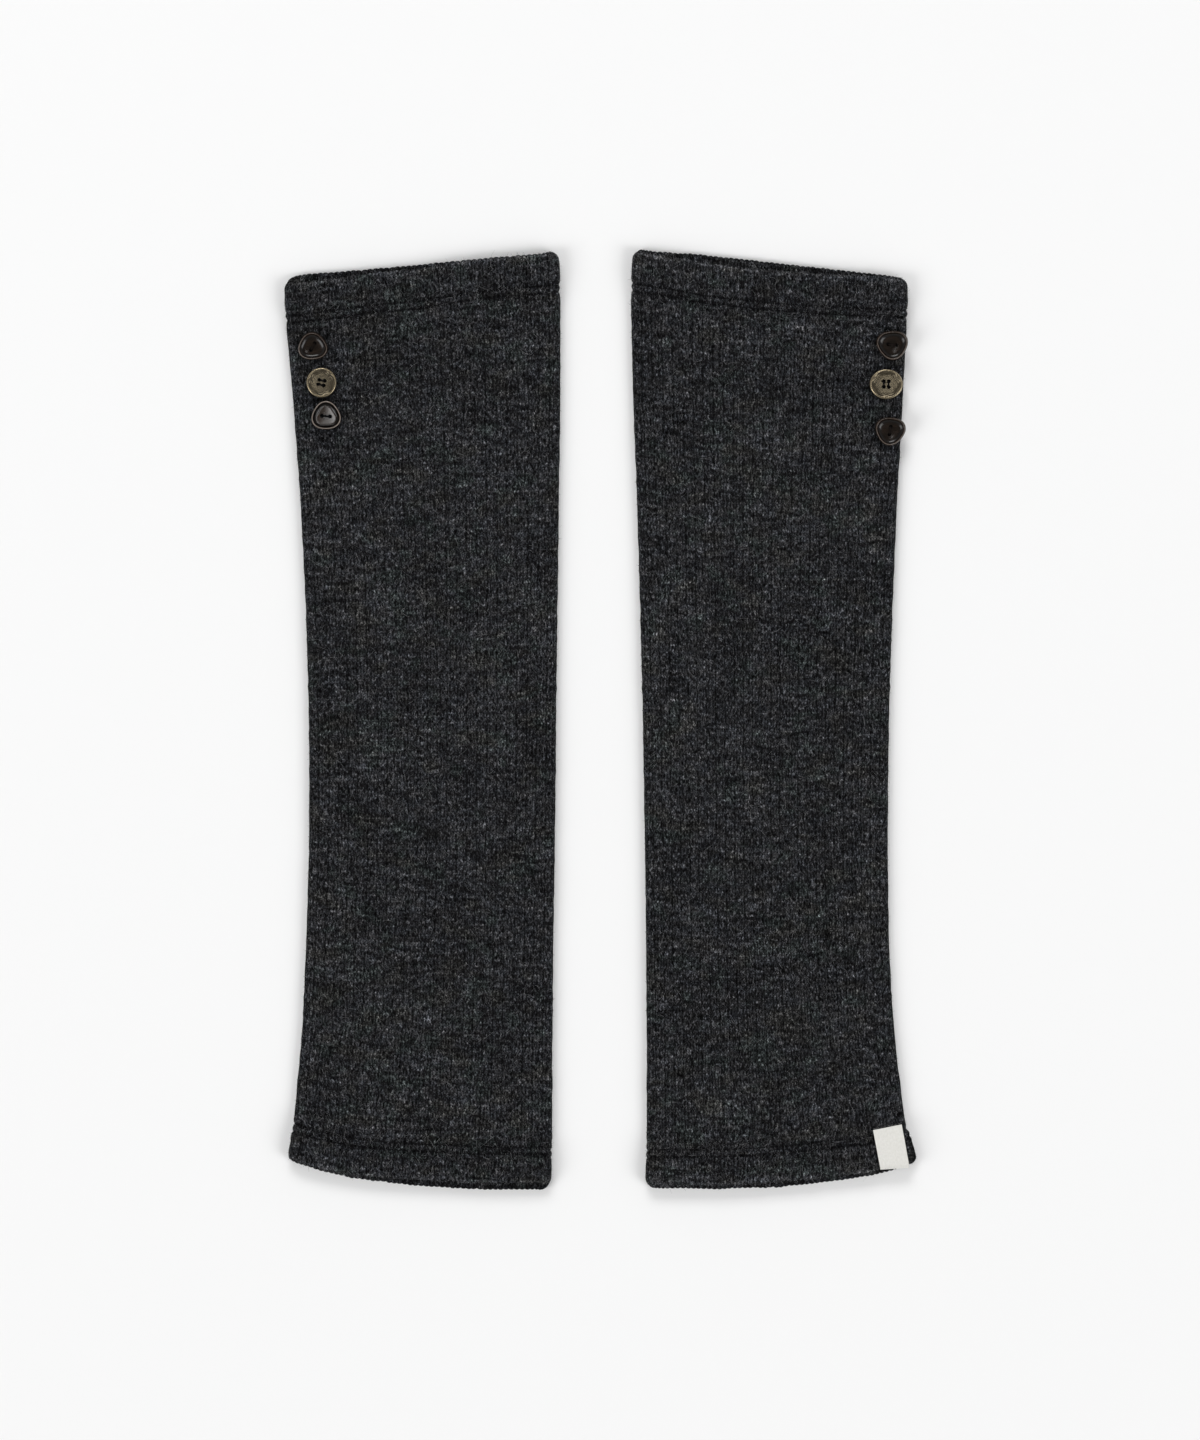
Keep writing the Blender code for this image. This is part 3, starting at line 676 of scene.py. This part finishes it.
def make_fibres(leg, material):
    """Loose fibres of the brushed yarn, lying on the cloth and standing out at its edges."""
    random = np.random.default_rng({"left": 71, "right": 72}[leg["name"]])
    grid, points = leg["grid"], leg["points"]

    def grow(kind, rings, columns, facing):
        """Fibres of a kind, rooted on some of the rings and columns."""
        ring = random.choice(np.flatnonzero(rings), kind.count)
        column = random.choice(np.flatnonzero(columns), kind.count)
        root = points[ring, column]
        if kind.scatter:
            root = root + random.normal(0, kind.scatter, root.shape) * (1.0, 1.0, 0.0)
        facing = np.broadcast_to(facing, points.shape[:2])[ring, column]
        heading = facing + random.normal(0, kind.turn, kind.count)
        length = random.gamma(kind.shape, kind.scale, kind.count) + kind.least
        rise = random.uniform(*kind.rise, kind.count)
        return fibre_paths(root, heading, length, rise, random.normal(0, kind.bend, kind.count))

    outside = grid.face > 0
    panel = grid.is_front & (grid.edge == 0)
    folds = grid.is_front & (grid.edge != 0) & (grid.turn < 1.0)
    tips = outside & (grid.end != 0) & (grid.along < 1.2)
    up = np.pi / 2
    paths = np.concatenate([
        grow(LAID_FIBRES, outside, panel, up),
        grow(SIDE_FIBRES, outside, folds, np.where(grid.edge * leg["outward"] > 0, 0.0, np.pi)),
        grow(END_FIBRES, tips, panel, np.where(grid.end > 0, up, -up)),
    ])
    paths[:, :, 2] = np.maximum(paths[:, :, 2], FIBRE_LOWEST)
    thick = FIBRE_RADIUS * random.uniform(0.7, 1.4, len(paths))
    points, faces = tubes(paths, thick, sides=3)
    tone = np.repeat(random.random(len(paths)), FIBRE_STEPS * 3)
    corner_tone = [(tone[face[0]], 0.5) for face in faces for _ in face]
    piece = add_mesh(leg["name"] + "_loose_fibres", points, faces, material, corner_tone)
    return declare(piece, "knit")


def make_stitches(leg, tree, material):
    """Twin rows of topstitching round both hems, on the upper and the lower layer."""
    random = np.random.default_rng(81)
    paths = []

    def sew(layer, end, row, middle):
        """One stitch, a little askew, left out where its ends find no cloth."""
        xs = middle + random.normal(0, 0.1)
        xs = xs + STITCH_STEPS * STITCH_LENGTH * random.uniform(0.9, 1.05)
        tilt, drift = random.normal(0, 0.12), random.normal(0, 0.06)
        ys = leg[layer][end](xs) - ENDS[end] * (row + drift) + tilt * STITCH_STEPS
        from_below = layer == "back"
        heights = np.array([cast(tree, float(x), float(y), from_below) for x, y in zip(xs, ys)])
        if np.isnan(heights).any():
            return
        level = heights * (1 - STITCH_EVENNESS) + heights.mean() * STITCH_EVENNESS
        below = np.maximum(level - STITCH_RISE, STITCH_RADIUS)
        paths.append(np.stack([xs, ys, below if from_below else level + STITCH_RISE], -1))

    for layer in ("front", "back"):
        for end, sign in ENDS.items():
            edges = [float(leg[layer][line](sign * REFERENCE_Y)) for line in ("inner", "outer")]
            first = min(edges) + STITCH_MARGIN
            count = int((max(edges) - STITCH_MARGIN - first) / STITCH_PITCH)
            for row in STITCH_ROWS[end]:
                for k in range(count):
                    sew(layer, end, row, first + (k + 0.5) * STITCH_PITCH)
    points, faces = tubes(np.array(paths), STITCH_RADIUS, sides=6)
    return declare(add_mesh(leg["name"] + "_hem_stitches", points, faces, material), "knit")


# Buttons

def fine_rings(rings):
    """More button sections, on a smooth curve through the table's."""
    table = np.array(rings)
    padded = np.pad(table, ((1, 1), (0, 0)), mode="edge")
    fine = []
    for before, a, b, after in zip(padded, table, table[1:], padded[3:]):
        for t in np.arange(BUTTON_STEPS) / BUTTON_STEPS:
            fine.append(0.5 * (2 * a + (b - before) * t + (2 * before - 5 * a + 4 * b - after) * t ** 2
                               + (3 * a - before - 3 * b + after) * t ** 3))
    return np.array(fine + [table[-1]])


def button_surface(button, width, height):
    """A button's points, faces and shades at the origin; its pale rim of painted highlight and rubbing is
    lightest where it leans to.
    """
    rings = fine_rings(SECTIONS[button.kind])
    angle = 2 * np.pi * np.arange(BUTTON_SIDES) / BUTTON_SIDES
    if button.kind == "lobed":
        outline, swell = 0 * angle, LOBE_DEPTH * (np.abs(np.cos(LOBES / 2 * angle)) - LOBE_MIDDLE)
    else:
        outline = swell = CORNER_SWELL * np.cos(3 * angle)
    turned = angle + math.radians(button.turn)
    # Section shades are painted: shade below RIM_LIGHT, and above it the rim's painted highlight and
    # rubbing, lightest on the lean
    least = LEAST_RIM_WEAR_AND_HIGHLIGHT[button.kind]
    rim_wear_and_highlight = least + (1 - least) * (0.5 + 0.5 * np.cos(turned - math.radians(button.lean_to)))
    points, shades = [(0.0, 0.0, rings[0, 1])], [rings[0, 3]]
    for share, level, lobes, light in rings[1:-1]:
        radius = share * (1 + outline + lobes * swell)
        x, y = width / 2 * radius * np.cos(turned), height / 2 * radius * np.sin(turned)
        points += np.stack([x, y, np.full(BUTTON_SIDES, level)], -1).tolist()
        shades += (min(light, RIM_LIGHT) + max(light - RIM_LIGHT, 0) * rim_wear_and_highlight).tolist()
    points.append((0.0, 0.0, rings[-1, 1]))
    shades.append(rings[-1, 3])
    faces = []
    last = len(points) - 1
    top = last - BUTTON_SIDES
    for k in range(BUTTON_SIDES):
        after = (k + 1) % BUTTON_SIDES
        faces.append((0, 1 + after, 1 + k))
        for low in range(1, top, BUTTON_SIDES):
            high = low + BUTTON_SIDES
            faces.append((low + k, low + after, high + after, high + k))
        faces.append((top + k, top + after, last))
    return np.array(points), faces, shades


def cut_holes(piece, places, radius, pose):
    """Cuts the thread holes through a button and applies the cuts."""
    for x, y in places:
        bpy.ops.mesh.primitive_cylinder_add(vertices=24, radius=radius * MM, depth=12 * MM)
        cutter = bpy.context.object
        cutter.matrix_world = pose @ Matrix.Translation(Vector((x, y, 0)) * MM)
        cut = piece.modifiers.new("hole", "BOOLEAN")
        cut.operation = "DIFFERENCE"
        cut.solver = "EXACT"
        cut.object = cutter
        bpy.context.view_layer.update()
        shape = piece.evaluated_get(bpy.context.evaluated_depsgraph_get())
        fresh = bpy.data.meshes.new_from_object(shape)
        piece.modifiers.clear()
        piece.data = fresh
        bpy.data.objects.remove(cutter, do_unlink=True)
    piece.data.shade_smooth()
    piece.data.set_sharp_from_angle(angle=SHARP_ANGLE)


def thread_paths(kind, places):
    """Strands of thread from hole to hole of a button at the origin."""
    level = SECTIONS[kind][-1][1]
    share, on_face, height = np.array(THREAD_PATH).T
    paths = []
    for a, b in zip(places[::2], places[1::2]):
        along = (b - a) / np.linalg.norm(b - a)
        for strand in THREAD_STRANDS:
            spots = a + (b - a) * share[:, None] + np.array([-along[1], along[0]]) * strand
            paths.append(np.column_stack([spots, on_face * level + height]))
    return np.array(paths)


def make_button(button, materials, threads):
    """A finer button in place of the CAD one, with thread through its holes."""
    low, high = box_of(button.node)
    towards = math.radians(button.lean_to)
    hinge = Vector((-math.sin(towards), math.cos(towards), 0))
    tilt = Matrix.Rotation(math.radians(button.lean), 4, hinge)
    tilt_rows = np.array(tilt.to_3x3())
    points = button_surface(button, 1.0, 1.0)[0]
    spread = np.ptp((points * (1, 1, 0)) @ tilt_rows.T, axis=0)
    width, height = (high - low)[:2] / spread[:2]
    points, faces, shades = button_surface(button, width, height)
    leaned = points @ tilt_rows.T
    shift = (low + high) / 2 - (leaned.min(0) + leaned.max(0)) / 2
    piece = add_mesh(button.node + "_turned", leaned + shift, faces, materials[button.kind], shade=shades)
    places, radius = HOLES[button.kind]
    spin = math.radians(button.hole_turn)
    cos, sin = math.cos(spin), math.sin(spin)
    places = np.array(places) @ np.array([(cos, sin), (-sin, cos)])
    cut_holes(piece, places, radius, Matrix.Translation(Vector(shift) * MM) @ tilt)
    declare(piece, "brass_button" if button.kind == "lobed" else "dark_button", button.node)
    paths = thread_paths(button.kind, places) @ tilt_rows.T + shift
    points, faces = tubes(paths, THREAD_RADIUS, sides=8, tips=1.0)
    declare(add_mesh(button.node + "_thread", points, faces, threads[button.kind]), "knit")


# Label

def label_heights(flat, tree, lowest):
    """Heights of the tape: it rests on what is highest near each of its points."""
    heights = np.zeros(flat.shape[:2])
    for i, k in np.ndindex(heights.shape):
        x, y = flat[i, k]
        found = [cast(tree, x + dx, y + dy) for dx, dy in LABEL_PROBES]
        heights[i, k] = max([height for height in found if not math.isnan(height)] + [lowest])
    padded = np.pad(heights, LABEL_SMOOTHING // 2, mode="edge")
    windows = sliding_window_view(padded, (LABEL_SMOOTHING, LABEL_SMOOTHING))
    return windows.mean(axis=(2, 3)) + LABEL_CLEAR


def label_grid(leg, tree):
    """The tape's points, columns across it by rows from its upper edge round its fold."""
    a = np.linspace(0, 1, LABEL_COLUMNS)[:, None]
    top = LABEL_TOP[0] * (1 - a) + LABEL_TOP[1] * a
    fold = LABEL_FOLD[0] * (1 - a) + LABEL_FOLD[1] * a
    t = np.linspace(0, 1, LABEL_ROWS)
    flat = top[:, None, :] * (1 - t[:, None]) + fold[:, None, :] * t[:, None]
    hem_top = float(np.nanmax(leg["top"][2]))
    heights = label_heights(flat, tree, hem_top - 0.5)
    heights += LABEL_LOOSENESS * bell(a, 0.16) * np.sin(np.pi * t * 0.9)
    heights += uneven(LABEL_SWELL, flat[..., 0], flat[..., 1])
    sheet = np.concatenate([flat, heights[:, :, None]], -1)
    centre = hem_top - HEM_RADIUS + 0.1
    lean = (fold[:, :1] - top[:, :1]) / (fold[:, 1:] - top[:, 1:])
    angle = LABEL_WRAP * np.arange(1, LABEL_WRAP_ROWS + 1) / LABEL_WRAP_ROWS
    out = LABEL_REACH * np.sin(angle)
    z = centre + (heights[:, -1:] - centre) * np.cos(angle)
    wrap = np.stack([fold[:, :1] - out * lean, fold[:, 1:] - out, z], -1)
    return np.concatenate([sheet, wrap], axis=1)


def make_label(leg, tree, material, thread):
    """A bare tape, folded over the lower hem's edge and stitched at the top."""
    grid = label_grid(leg, tree)
    count, rows = grid.shape[:2]
    index = np.arange(count * rows).reshape(count, rows)
    faces = np.stack([index[:-1, 1:], index[1:, 1:], index[1:, :-1], index[:-1, :-1]], -1)
    steps = np.linalg.norm(np.diff(grid[count // 2], axis=0), axis=1)
    length = np.concatenate([[0.0], np.cumsum(steps)])
    wide = float(np.linalg.norm(LABEL_TOP[1] - LABEL_TOP[0]))
    u, v = np.meshgrid(np.linspace(0, wide, count), length, indexing="ij")
    uv = np.stack([u.ravel()[faces], v.ravel()[faces]], -1)
    piece = add_mesh("right_tape_label", grid, faces.reshape(-1, 4), material, uv)
    shell = piece.modifiers.new("tape", "SOLIDIFY")
    shell.thickness = LABEL_THICK * MM
    shell.offset = 1.0
    declare(piece, "tape", "right_label")

    along = (grid[-1, 0] - grid[0, 0]) / wide
    stitch = LABEL_STITCH_PLACE + [along * step + (0, 0, rise) for step, rise in LABEL_STITCH]
    paths = [grid[int(share * (count - 1)), 0] + stitch for share in LABEL_STITCHES]
    points, faces = tubes(np.array(paths), LABEL_STITCH_RADIUS, sides=6)
    declare(add_mesh("right_label_stitches", points, faces, thread), "tape")


# Materials

class Graph:
    """Short calls for a material's nodes."""

    def __init__(self, name, library=bpy.data.materials, shader="Principled BSDF"):
        self.material = library.new(name)
        self.material.use_nodes = True
        self.nodes = self.material.node_tree.nodes
        self.links = self.material.node_tree.links
        self.shader = self.nodes[shader]

    def put(self, socket, value):
        if hasattr(value, "is_output"):
            self.links.new(value, socket)
        else:
            socket.default_value = value

    def node(self, kind, inputs=(), output=0, **settings):
        node = self.nodes.new("ShaderNode" + kind)
        for key, value in settings.items():
            setattr(node, key, value)
        for key, value in dict(inputs).items():
            self.put(node.inputs[key], value)
        return node.outputs[output]

    def place(self):
        return self.node("TexCoord", output=3)

    def shade(self):
        return self.node("Attribute", output=2, attribute_name="shade")

    def split(self, vector):
        parts = self.node("SeparateXYZ", {0: vector}).node
        return parts.outputs[0], parts.outputs[1]

    def math(self, operation, a, b=0.0, c=0.0):
        return self.node("Math", {0: a, 1: b, 2: c}, operation=operation)

    def product(self, value, *factors):
        for factor in factors:
            value = self.math("MULTIPLY", value, factor)
        return value

    def away(self, value):
        """From 0 in the middle of each whole step of a value to 1 at its ends."""
        middle = self.math("SUBTRACT", self.math("FRACT", value), 0.5)
        return self.product(self.math("ABSOLUTE", middle), 2.0)

    def noise(self, vector, scale, detail=2.0, roughness=0.5):
        if isinstance(scale, tuple):
            vector = self.node("VectorMath", {0: vector, 1: scale}, operation="MULTIPLY")
            scale = 1.0
        return self.node("TexNoise", {"Vector": vector, "Scale": scale, "Detail": detail,
                                      "Roughness": roughness})

    def times(self, vector, value):
        return self.node("VectorMath", {0: vector, "Scale": value}, operation="SCALE")

    def range(self, value, span=(0.0, 1.0), result=(0.0, 1.0)):
        """A span of values, spread over the result and cut off at its ends."""
        return self.node("MapRange", {0: value, 1: span[0], 2: span[1], 3: result[0], 4: result[1]})

    def mix(self, share, a, b):
        a, b = (value + (1.0,) if isinstance(value, tuple) else value for value in (a, b))
        return self.node("Mix", {0: share, 6: a, 7: b}, output=2, data_type="RGBA")

    def set(self, **values):
        for key, value in values.items():
            self.put(self.shader.inputs[key.replace("_", " ")], value)

    def bump(self, height, strength, distance):
        normal = self.node("Bump", {"Height": height, "Strength": strength, "Distance": distance})
        self.put(self.shader.inputs["Normal"], normal)


def knit_material():
    """Brushed melange rib knit: V-shaped stitches in wales, each of its own tone."""
    g = Graph("knit")
    uv, place = g.node("UVMap", uv_map="knit"), g.place()
    sway = g.node("TexNoise", {"Vector": uv, "Scale": 0.35, "Detail": 2}, output=1)
    sway = g.node("VectorMath", {0: sway, 1: (0.5, 0.5, 0.5)}, operation="SUBTRACT")
    sway = g.node("VectorMath", {0: sway, 1: (0.5, 1.4, 0)}, operation="MULTIPLY")
    wale, course = g.split(g.node("VectorMath", {0: uv, 1: sway}, operation="ADD"))
    across = g.away(wale)
    slanted = g.math("ADD", course, g.product(across, 0.62))
    loop = g.math("SINE", g.product(g.math("FRACT", slanted), math.pi))
    half_wale, row = g.math("FLOOR", g.product(wale, 2)), g.math("FLOOR", slanted)
    stitch = g.node("CombineXYZ", {0: half_wale, 1: row})
    chance = g.node("TexWhiteNoise", {"Vector": stitch}, noise_dimensions="2D")
    value = g.math("POWER", 4.6, g.math("SUBTRACT", chance, 0.55))

    # Painted shade in rib and wale furrows, painted light and shade on the loops, and the yarn's own
    # strokes, streaks, patches and hairs that make it darker or lighter
    rib = g.away(g.product(wale, 1 / WALES_PER_RIB))
    rib_shade = g.range(g.math("POWER", rib, 8), result=(1, 0.62))
    wale_shade = g.range(g.math("POWER", across, 3), result=(1, 0.5))
    loop_shade = g.range(loop, result=(0.45, 1.15))
    strokes = g.range(g.noise(place, (1900, 800, 900), 3, 0.6), (0.33, 0.67), (-0.25, 2.4))
    streaks = g.range(g.noise(place, (110, 420, 300), 3, 0.6), (0.33, 0.67), (0.65, 1.35))
    along = {0: g.product(wale, 0.15), 1: g.product(row, 7.31)}
    yarn = g.range(g.noise(g.node("CombineXYZ", along), 1), (0.35, 0.65), (0.65, 1.35))
    patches = g.range(g.noise(place, (45, 60, 60)), (0.3, 0.7), (0.8, 1.21))
    breaks = g.range(g.noise(place, (620, 480, 500), 1), (0.45, 0.6))
    hairs = []
    for scale, reach in (((900, 600, 500), 0.05), ((600, 900, 400), 0.045)):
        field = g.math("SUBTRACT", g.noise(place, scale, 1), 0.5)
        line = g.range(g.math("ABSOLUTE", field), (0, reach), (1, 0))
        hairs.append(g.product(line, breaks))
    hair = g.math("ADD", 1, g.product(g.math("ADD", *hairs), 2.6))
    # The shade value brings in the cloth's painted light and shade by where it lies
    value = g.product(value, rib_shade, wale_shade, loop_shade, strokes, streaks, yarn, patches, hair,
                      g.shade(), 0.0224)

    # Bluish charcoal, with faint blue, green and brown patches
    blue = g.range(g.noise(place, (160, 260, 200)), (0.35, 0.65))
    green = g.range(g.noise(place, (95, 120, 100)), (0.54, 0.66), (0, 0.8))
    brown = g.range(g.noise(place, (80, 130, 90)), (0.55, 0.66), (0, 0.7))
    tint = g.mix(blue, (0.985, 0.98, 1.035), (0.93, 0.99, 1.125))
    tint = g.mix(brown, g.mix(green, tint, (0.87, 1.035, 1.02)), (1.03, 1, 0.93))
    height = g.product(loop, g.math("SUBTRACT", 1, g.math("POWER", across, 2)))
    g.bump(g.math("ADD", height, g.product(strokes, 0.35)), 0.8, 0.00035)
    g.set(Base_Color=g.times(tint, value), Roughness=g.range(chance, result=(0.82, 1)))
    g.shader.inputs["Sheen Weight"].default_value = 0.01
    g.shader.inputs["Sheen Roughness"].default_value = 0.5
    g.shader.inputs["Specular IOR Level"].default_value = 0.02
    return g.material


def fibre_material():
    """Loose fibres, from charcoal to light grey by fibre."""
    g = Graph("loose_fibre")
    tone = g.math("POWER", g.split(g.node("UVMap", uv_map="knit"))[0], 2.6)
    g.set(Base_Color=g.mix(tone, (0.03, 0.031, 0.034), (0.34, 0.34, 0.35)), Roughness=0.8)
    g.shader.inputs["Specular IOR Level"].default_value = 0.1
    return g.material


def thread_material(name, colour):
    """Twisted sewing thread."""
    g = Graph(name)
    twist = g.noise(g.place(), (5200, 5200, 2400))
    dark = tuple(c * 0.6 for c in colour)
    g.set(Base_Color=g.mix(g.range(twist, (0.35, 0.65)), dark, colour), Roughness=0.8)
    g.bump(twist, 0.5, 0.0001)
    g.shader.inputs["Specular IOR Level"].default_value = 0.03
    return g.material


def horn_material(name, roughness, specular):
    """Dark horn, with faint browner streaks, fine scratches, painted shade in its hollows and a paler rim,
    partly rubbed and partly painted highlight.
    """
    g = Graph(name)
    place, painted_light_and_wear = g.place(), g.shade()
    streak = g.range(g.noise(place, (260, 900, 400), 4, 0.6), (0.35, 0.65))
    colour = g.mix(streak, (0.0104, 0.007, 0.0049), (0.0188, 0.0119, 0.0081))
    # Shade values under 1.5 darken the hollows and underside as painted shade; above it the colour turns
    # pale tan, the rim's painted highlight and rubbing
    colour = g.times(colour, g.math("MINIMUM", painted_light_and_wear, 1.5))
    colour = g.mix(g.range(painted_light_and_wear, (1.5, 5)), colour, (0.22, 0.185, 0.16))
    scratch = g.noise(place, (3800, 600, 1500))
    g.set(Base_Color=colour, Roughness=g.range(scratch, (0.3, 0.7), roughness))
    g.bump(scratch, 0.03, 0.00005)
    g.shader.inputs["Specular IOR Level"].default_value = specular
    return g.material


def brass_material():
    """Pale, rubbed brass, with soft clouds, a fine brushed grain, and painted shade and highlights from
    the shade value.
    """
    g = Graph("pale_brass")
    place = g.place()
    cloud = g.range(g.noise(place, (300, 300, 300)), (0.35, 0.65))
    # The shade value paints shade in the wavy step and underneath, and a highlight with rubbing on the rim
    colour = g.times(g.mix(cloud, (0.104, 0.086, 0.056), (0.12, 0.1, 0.066)), g.shade())
    grain = g.noise(place, (4200, 4200, 4200))
    g.set(Base_Color=colour, Metallic=0.75, Roughness=g.range(grain, (0.3, 0.7), (0.25, 0.27)))
    g.bump(grain, 0.008, 0.00004)
    return g.material


def tape_material():
    """Off-white woven tape: a fine plain weave, 0.28 mm across and 0.34 mm along."""
    g = Graph("tape")
    uv = g.node("UVMap", uv_map="knit")
    across, along = g.split(uv)
    warp = g.math("SINE", g.product(across, 2 * math.pi / 0.28))
    weft = g.math("SINE", g.product(along, 2 * math.pi / 0.34))
    cloud = g.range(g.noise(uv, (1.3, 0.9, 1), 3), (0.3, 0.7))
    g.set(Base_Color=g.mix(cloud, (0.675, 0.665, 0.625), (0.745, 0.735, 0.7)), Roughness=0.85)
    g.bump(g.product(warp, weft), 0.35, 0.00006)
    g.shader.inputs["Sheen Weight"].default_value = 0.1
    return g.material


# The set

def add_light(name, place, size, power):
    """A soft light that looks at the pair and isn't seen by the camera."""
    light = bpy.data.lights.new(name, "AREA")
    light.shape = "RECTANGLE"
    light.size, light.size_y = size
    light.energy = power
    item = bpy.data.objects.new(name, light)
    item.location = place
    item.rotation_euler = (-Vector(place)).to_track_quat("-Z", "Y").to_euler()
    item.visible_camera = False
    bpy.context.scene.collection.objects.link(item)


def add_floor():
    """A plain pale floor with the faintest tooth."""
    g = Graph("floor")
    tooth = g.noise(g.place(), 60, 3)
    g.set(Base_Color=g.mix(tooth, (0.873, 0.873, 0.873), (0.877, 0.877, 0.877)), Roughness=0.9)
    bpy.ops.mesh.primitive_plane_add(size=12.0, location=(0, 0, -0.0002))
    floor = bpy.context.object
    floor.name = "floor"
    floor.data.materials.append(g.material)


def add_world():
    """A pale room, brighter low down than overhead."""
    g = Graph("studio", bpy.data.worlds, "Background")
    up = g.node("SeparateXYZ", {0: g.node("TexCoord")}, output=2)
    g.set(Color=(1.0, 1.0, 1.0, 1.0), Strength=g.range(up, result=(WORLD_HORIZON, WORLD_ZENITH)))
    bpy.context.scene.world = g.material


def add_camera():
    """The camera straight above, with the photograph's frame."""
    camera = bpy.data.cameras.new("camera")
    camera.sensor_fit = "VERTICAL"
    camera.sensor_height = SENSOR
    camera.lens = SENSOR * CAMERA_HEIGHT / (PHOTO_TALL * MM_PER_PIXEL * MM)
    camera.clip_start, camera.clip_end = CAMERA_CLIP
    item = bpy.data.objects.new("camera", camera)
    item.location = (0.0, 0.0, CAMERA_HEIGHT)
    bpy.context.scene.collection.objects.link(item)
    bpy.context.scene.camera = item
    bpy.context.scene.view_settings.view_transform = "Standard"


def state_flat_size(leg):
    """Works out how wide a leg's cloth is laid out flat, with 4 mm for its two round folds, and does
    nothing more with it.
    """
    places = np.array([-200.0, 0.0, 200.0])
    widths = 2 * np.abs(leg["front"]["outer"](places) - leg["front"]["inner"](places)) + 4


def main():
    """Dresses the frame and sets the scene."""
    add_floor()
    add_world()
    for light in LIGHTS:
        add_light(*light)
    add_camera()
    knit, fibre = knit_material(), fibre_material()
    thread = thread_material("dark_thread", (0.005, 0.005, 0.006))
    pale_thread = thread_material("pale_thread", (0.17, 0.17, 0.165))
    brown_thread = thread_material("brown_thread", (0.012, 0.009, 0.008))
    materials = {"dish": horn_material("polished_horn", roughness=(0.08, 0.13), specular=0.35),
                 "bowl": horn_material("worn_horn", roughness=(0.15, 0.24), specular=0.3),
                 "lobed": brass_material()}
    threads = {"dish": thread, "bowl": brown_thread, "lobed": thread}
    for name in RIBS:
        leg = read_leg(name)
        piece = make_tube(leg, knit)
        tree = tree_of(piece)
        state_flat_size(leg)
        make_fibres(leg, fibre)
        make_stitches(leg, tree, thread)
        if name == "right":
            make_label(leg, tree, tape_material(), pale_thread)
    for button in BUTTONS:
        make_button(button, materials, threads)


main()
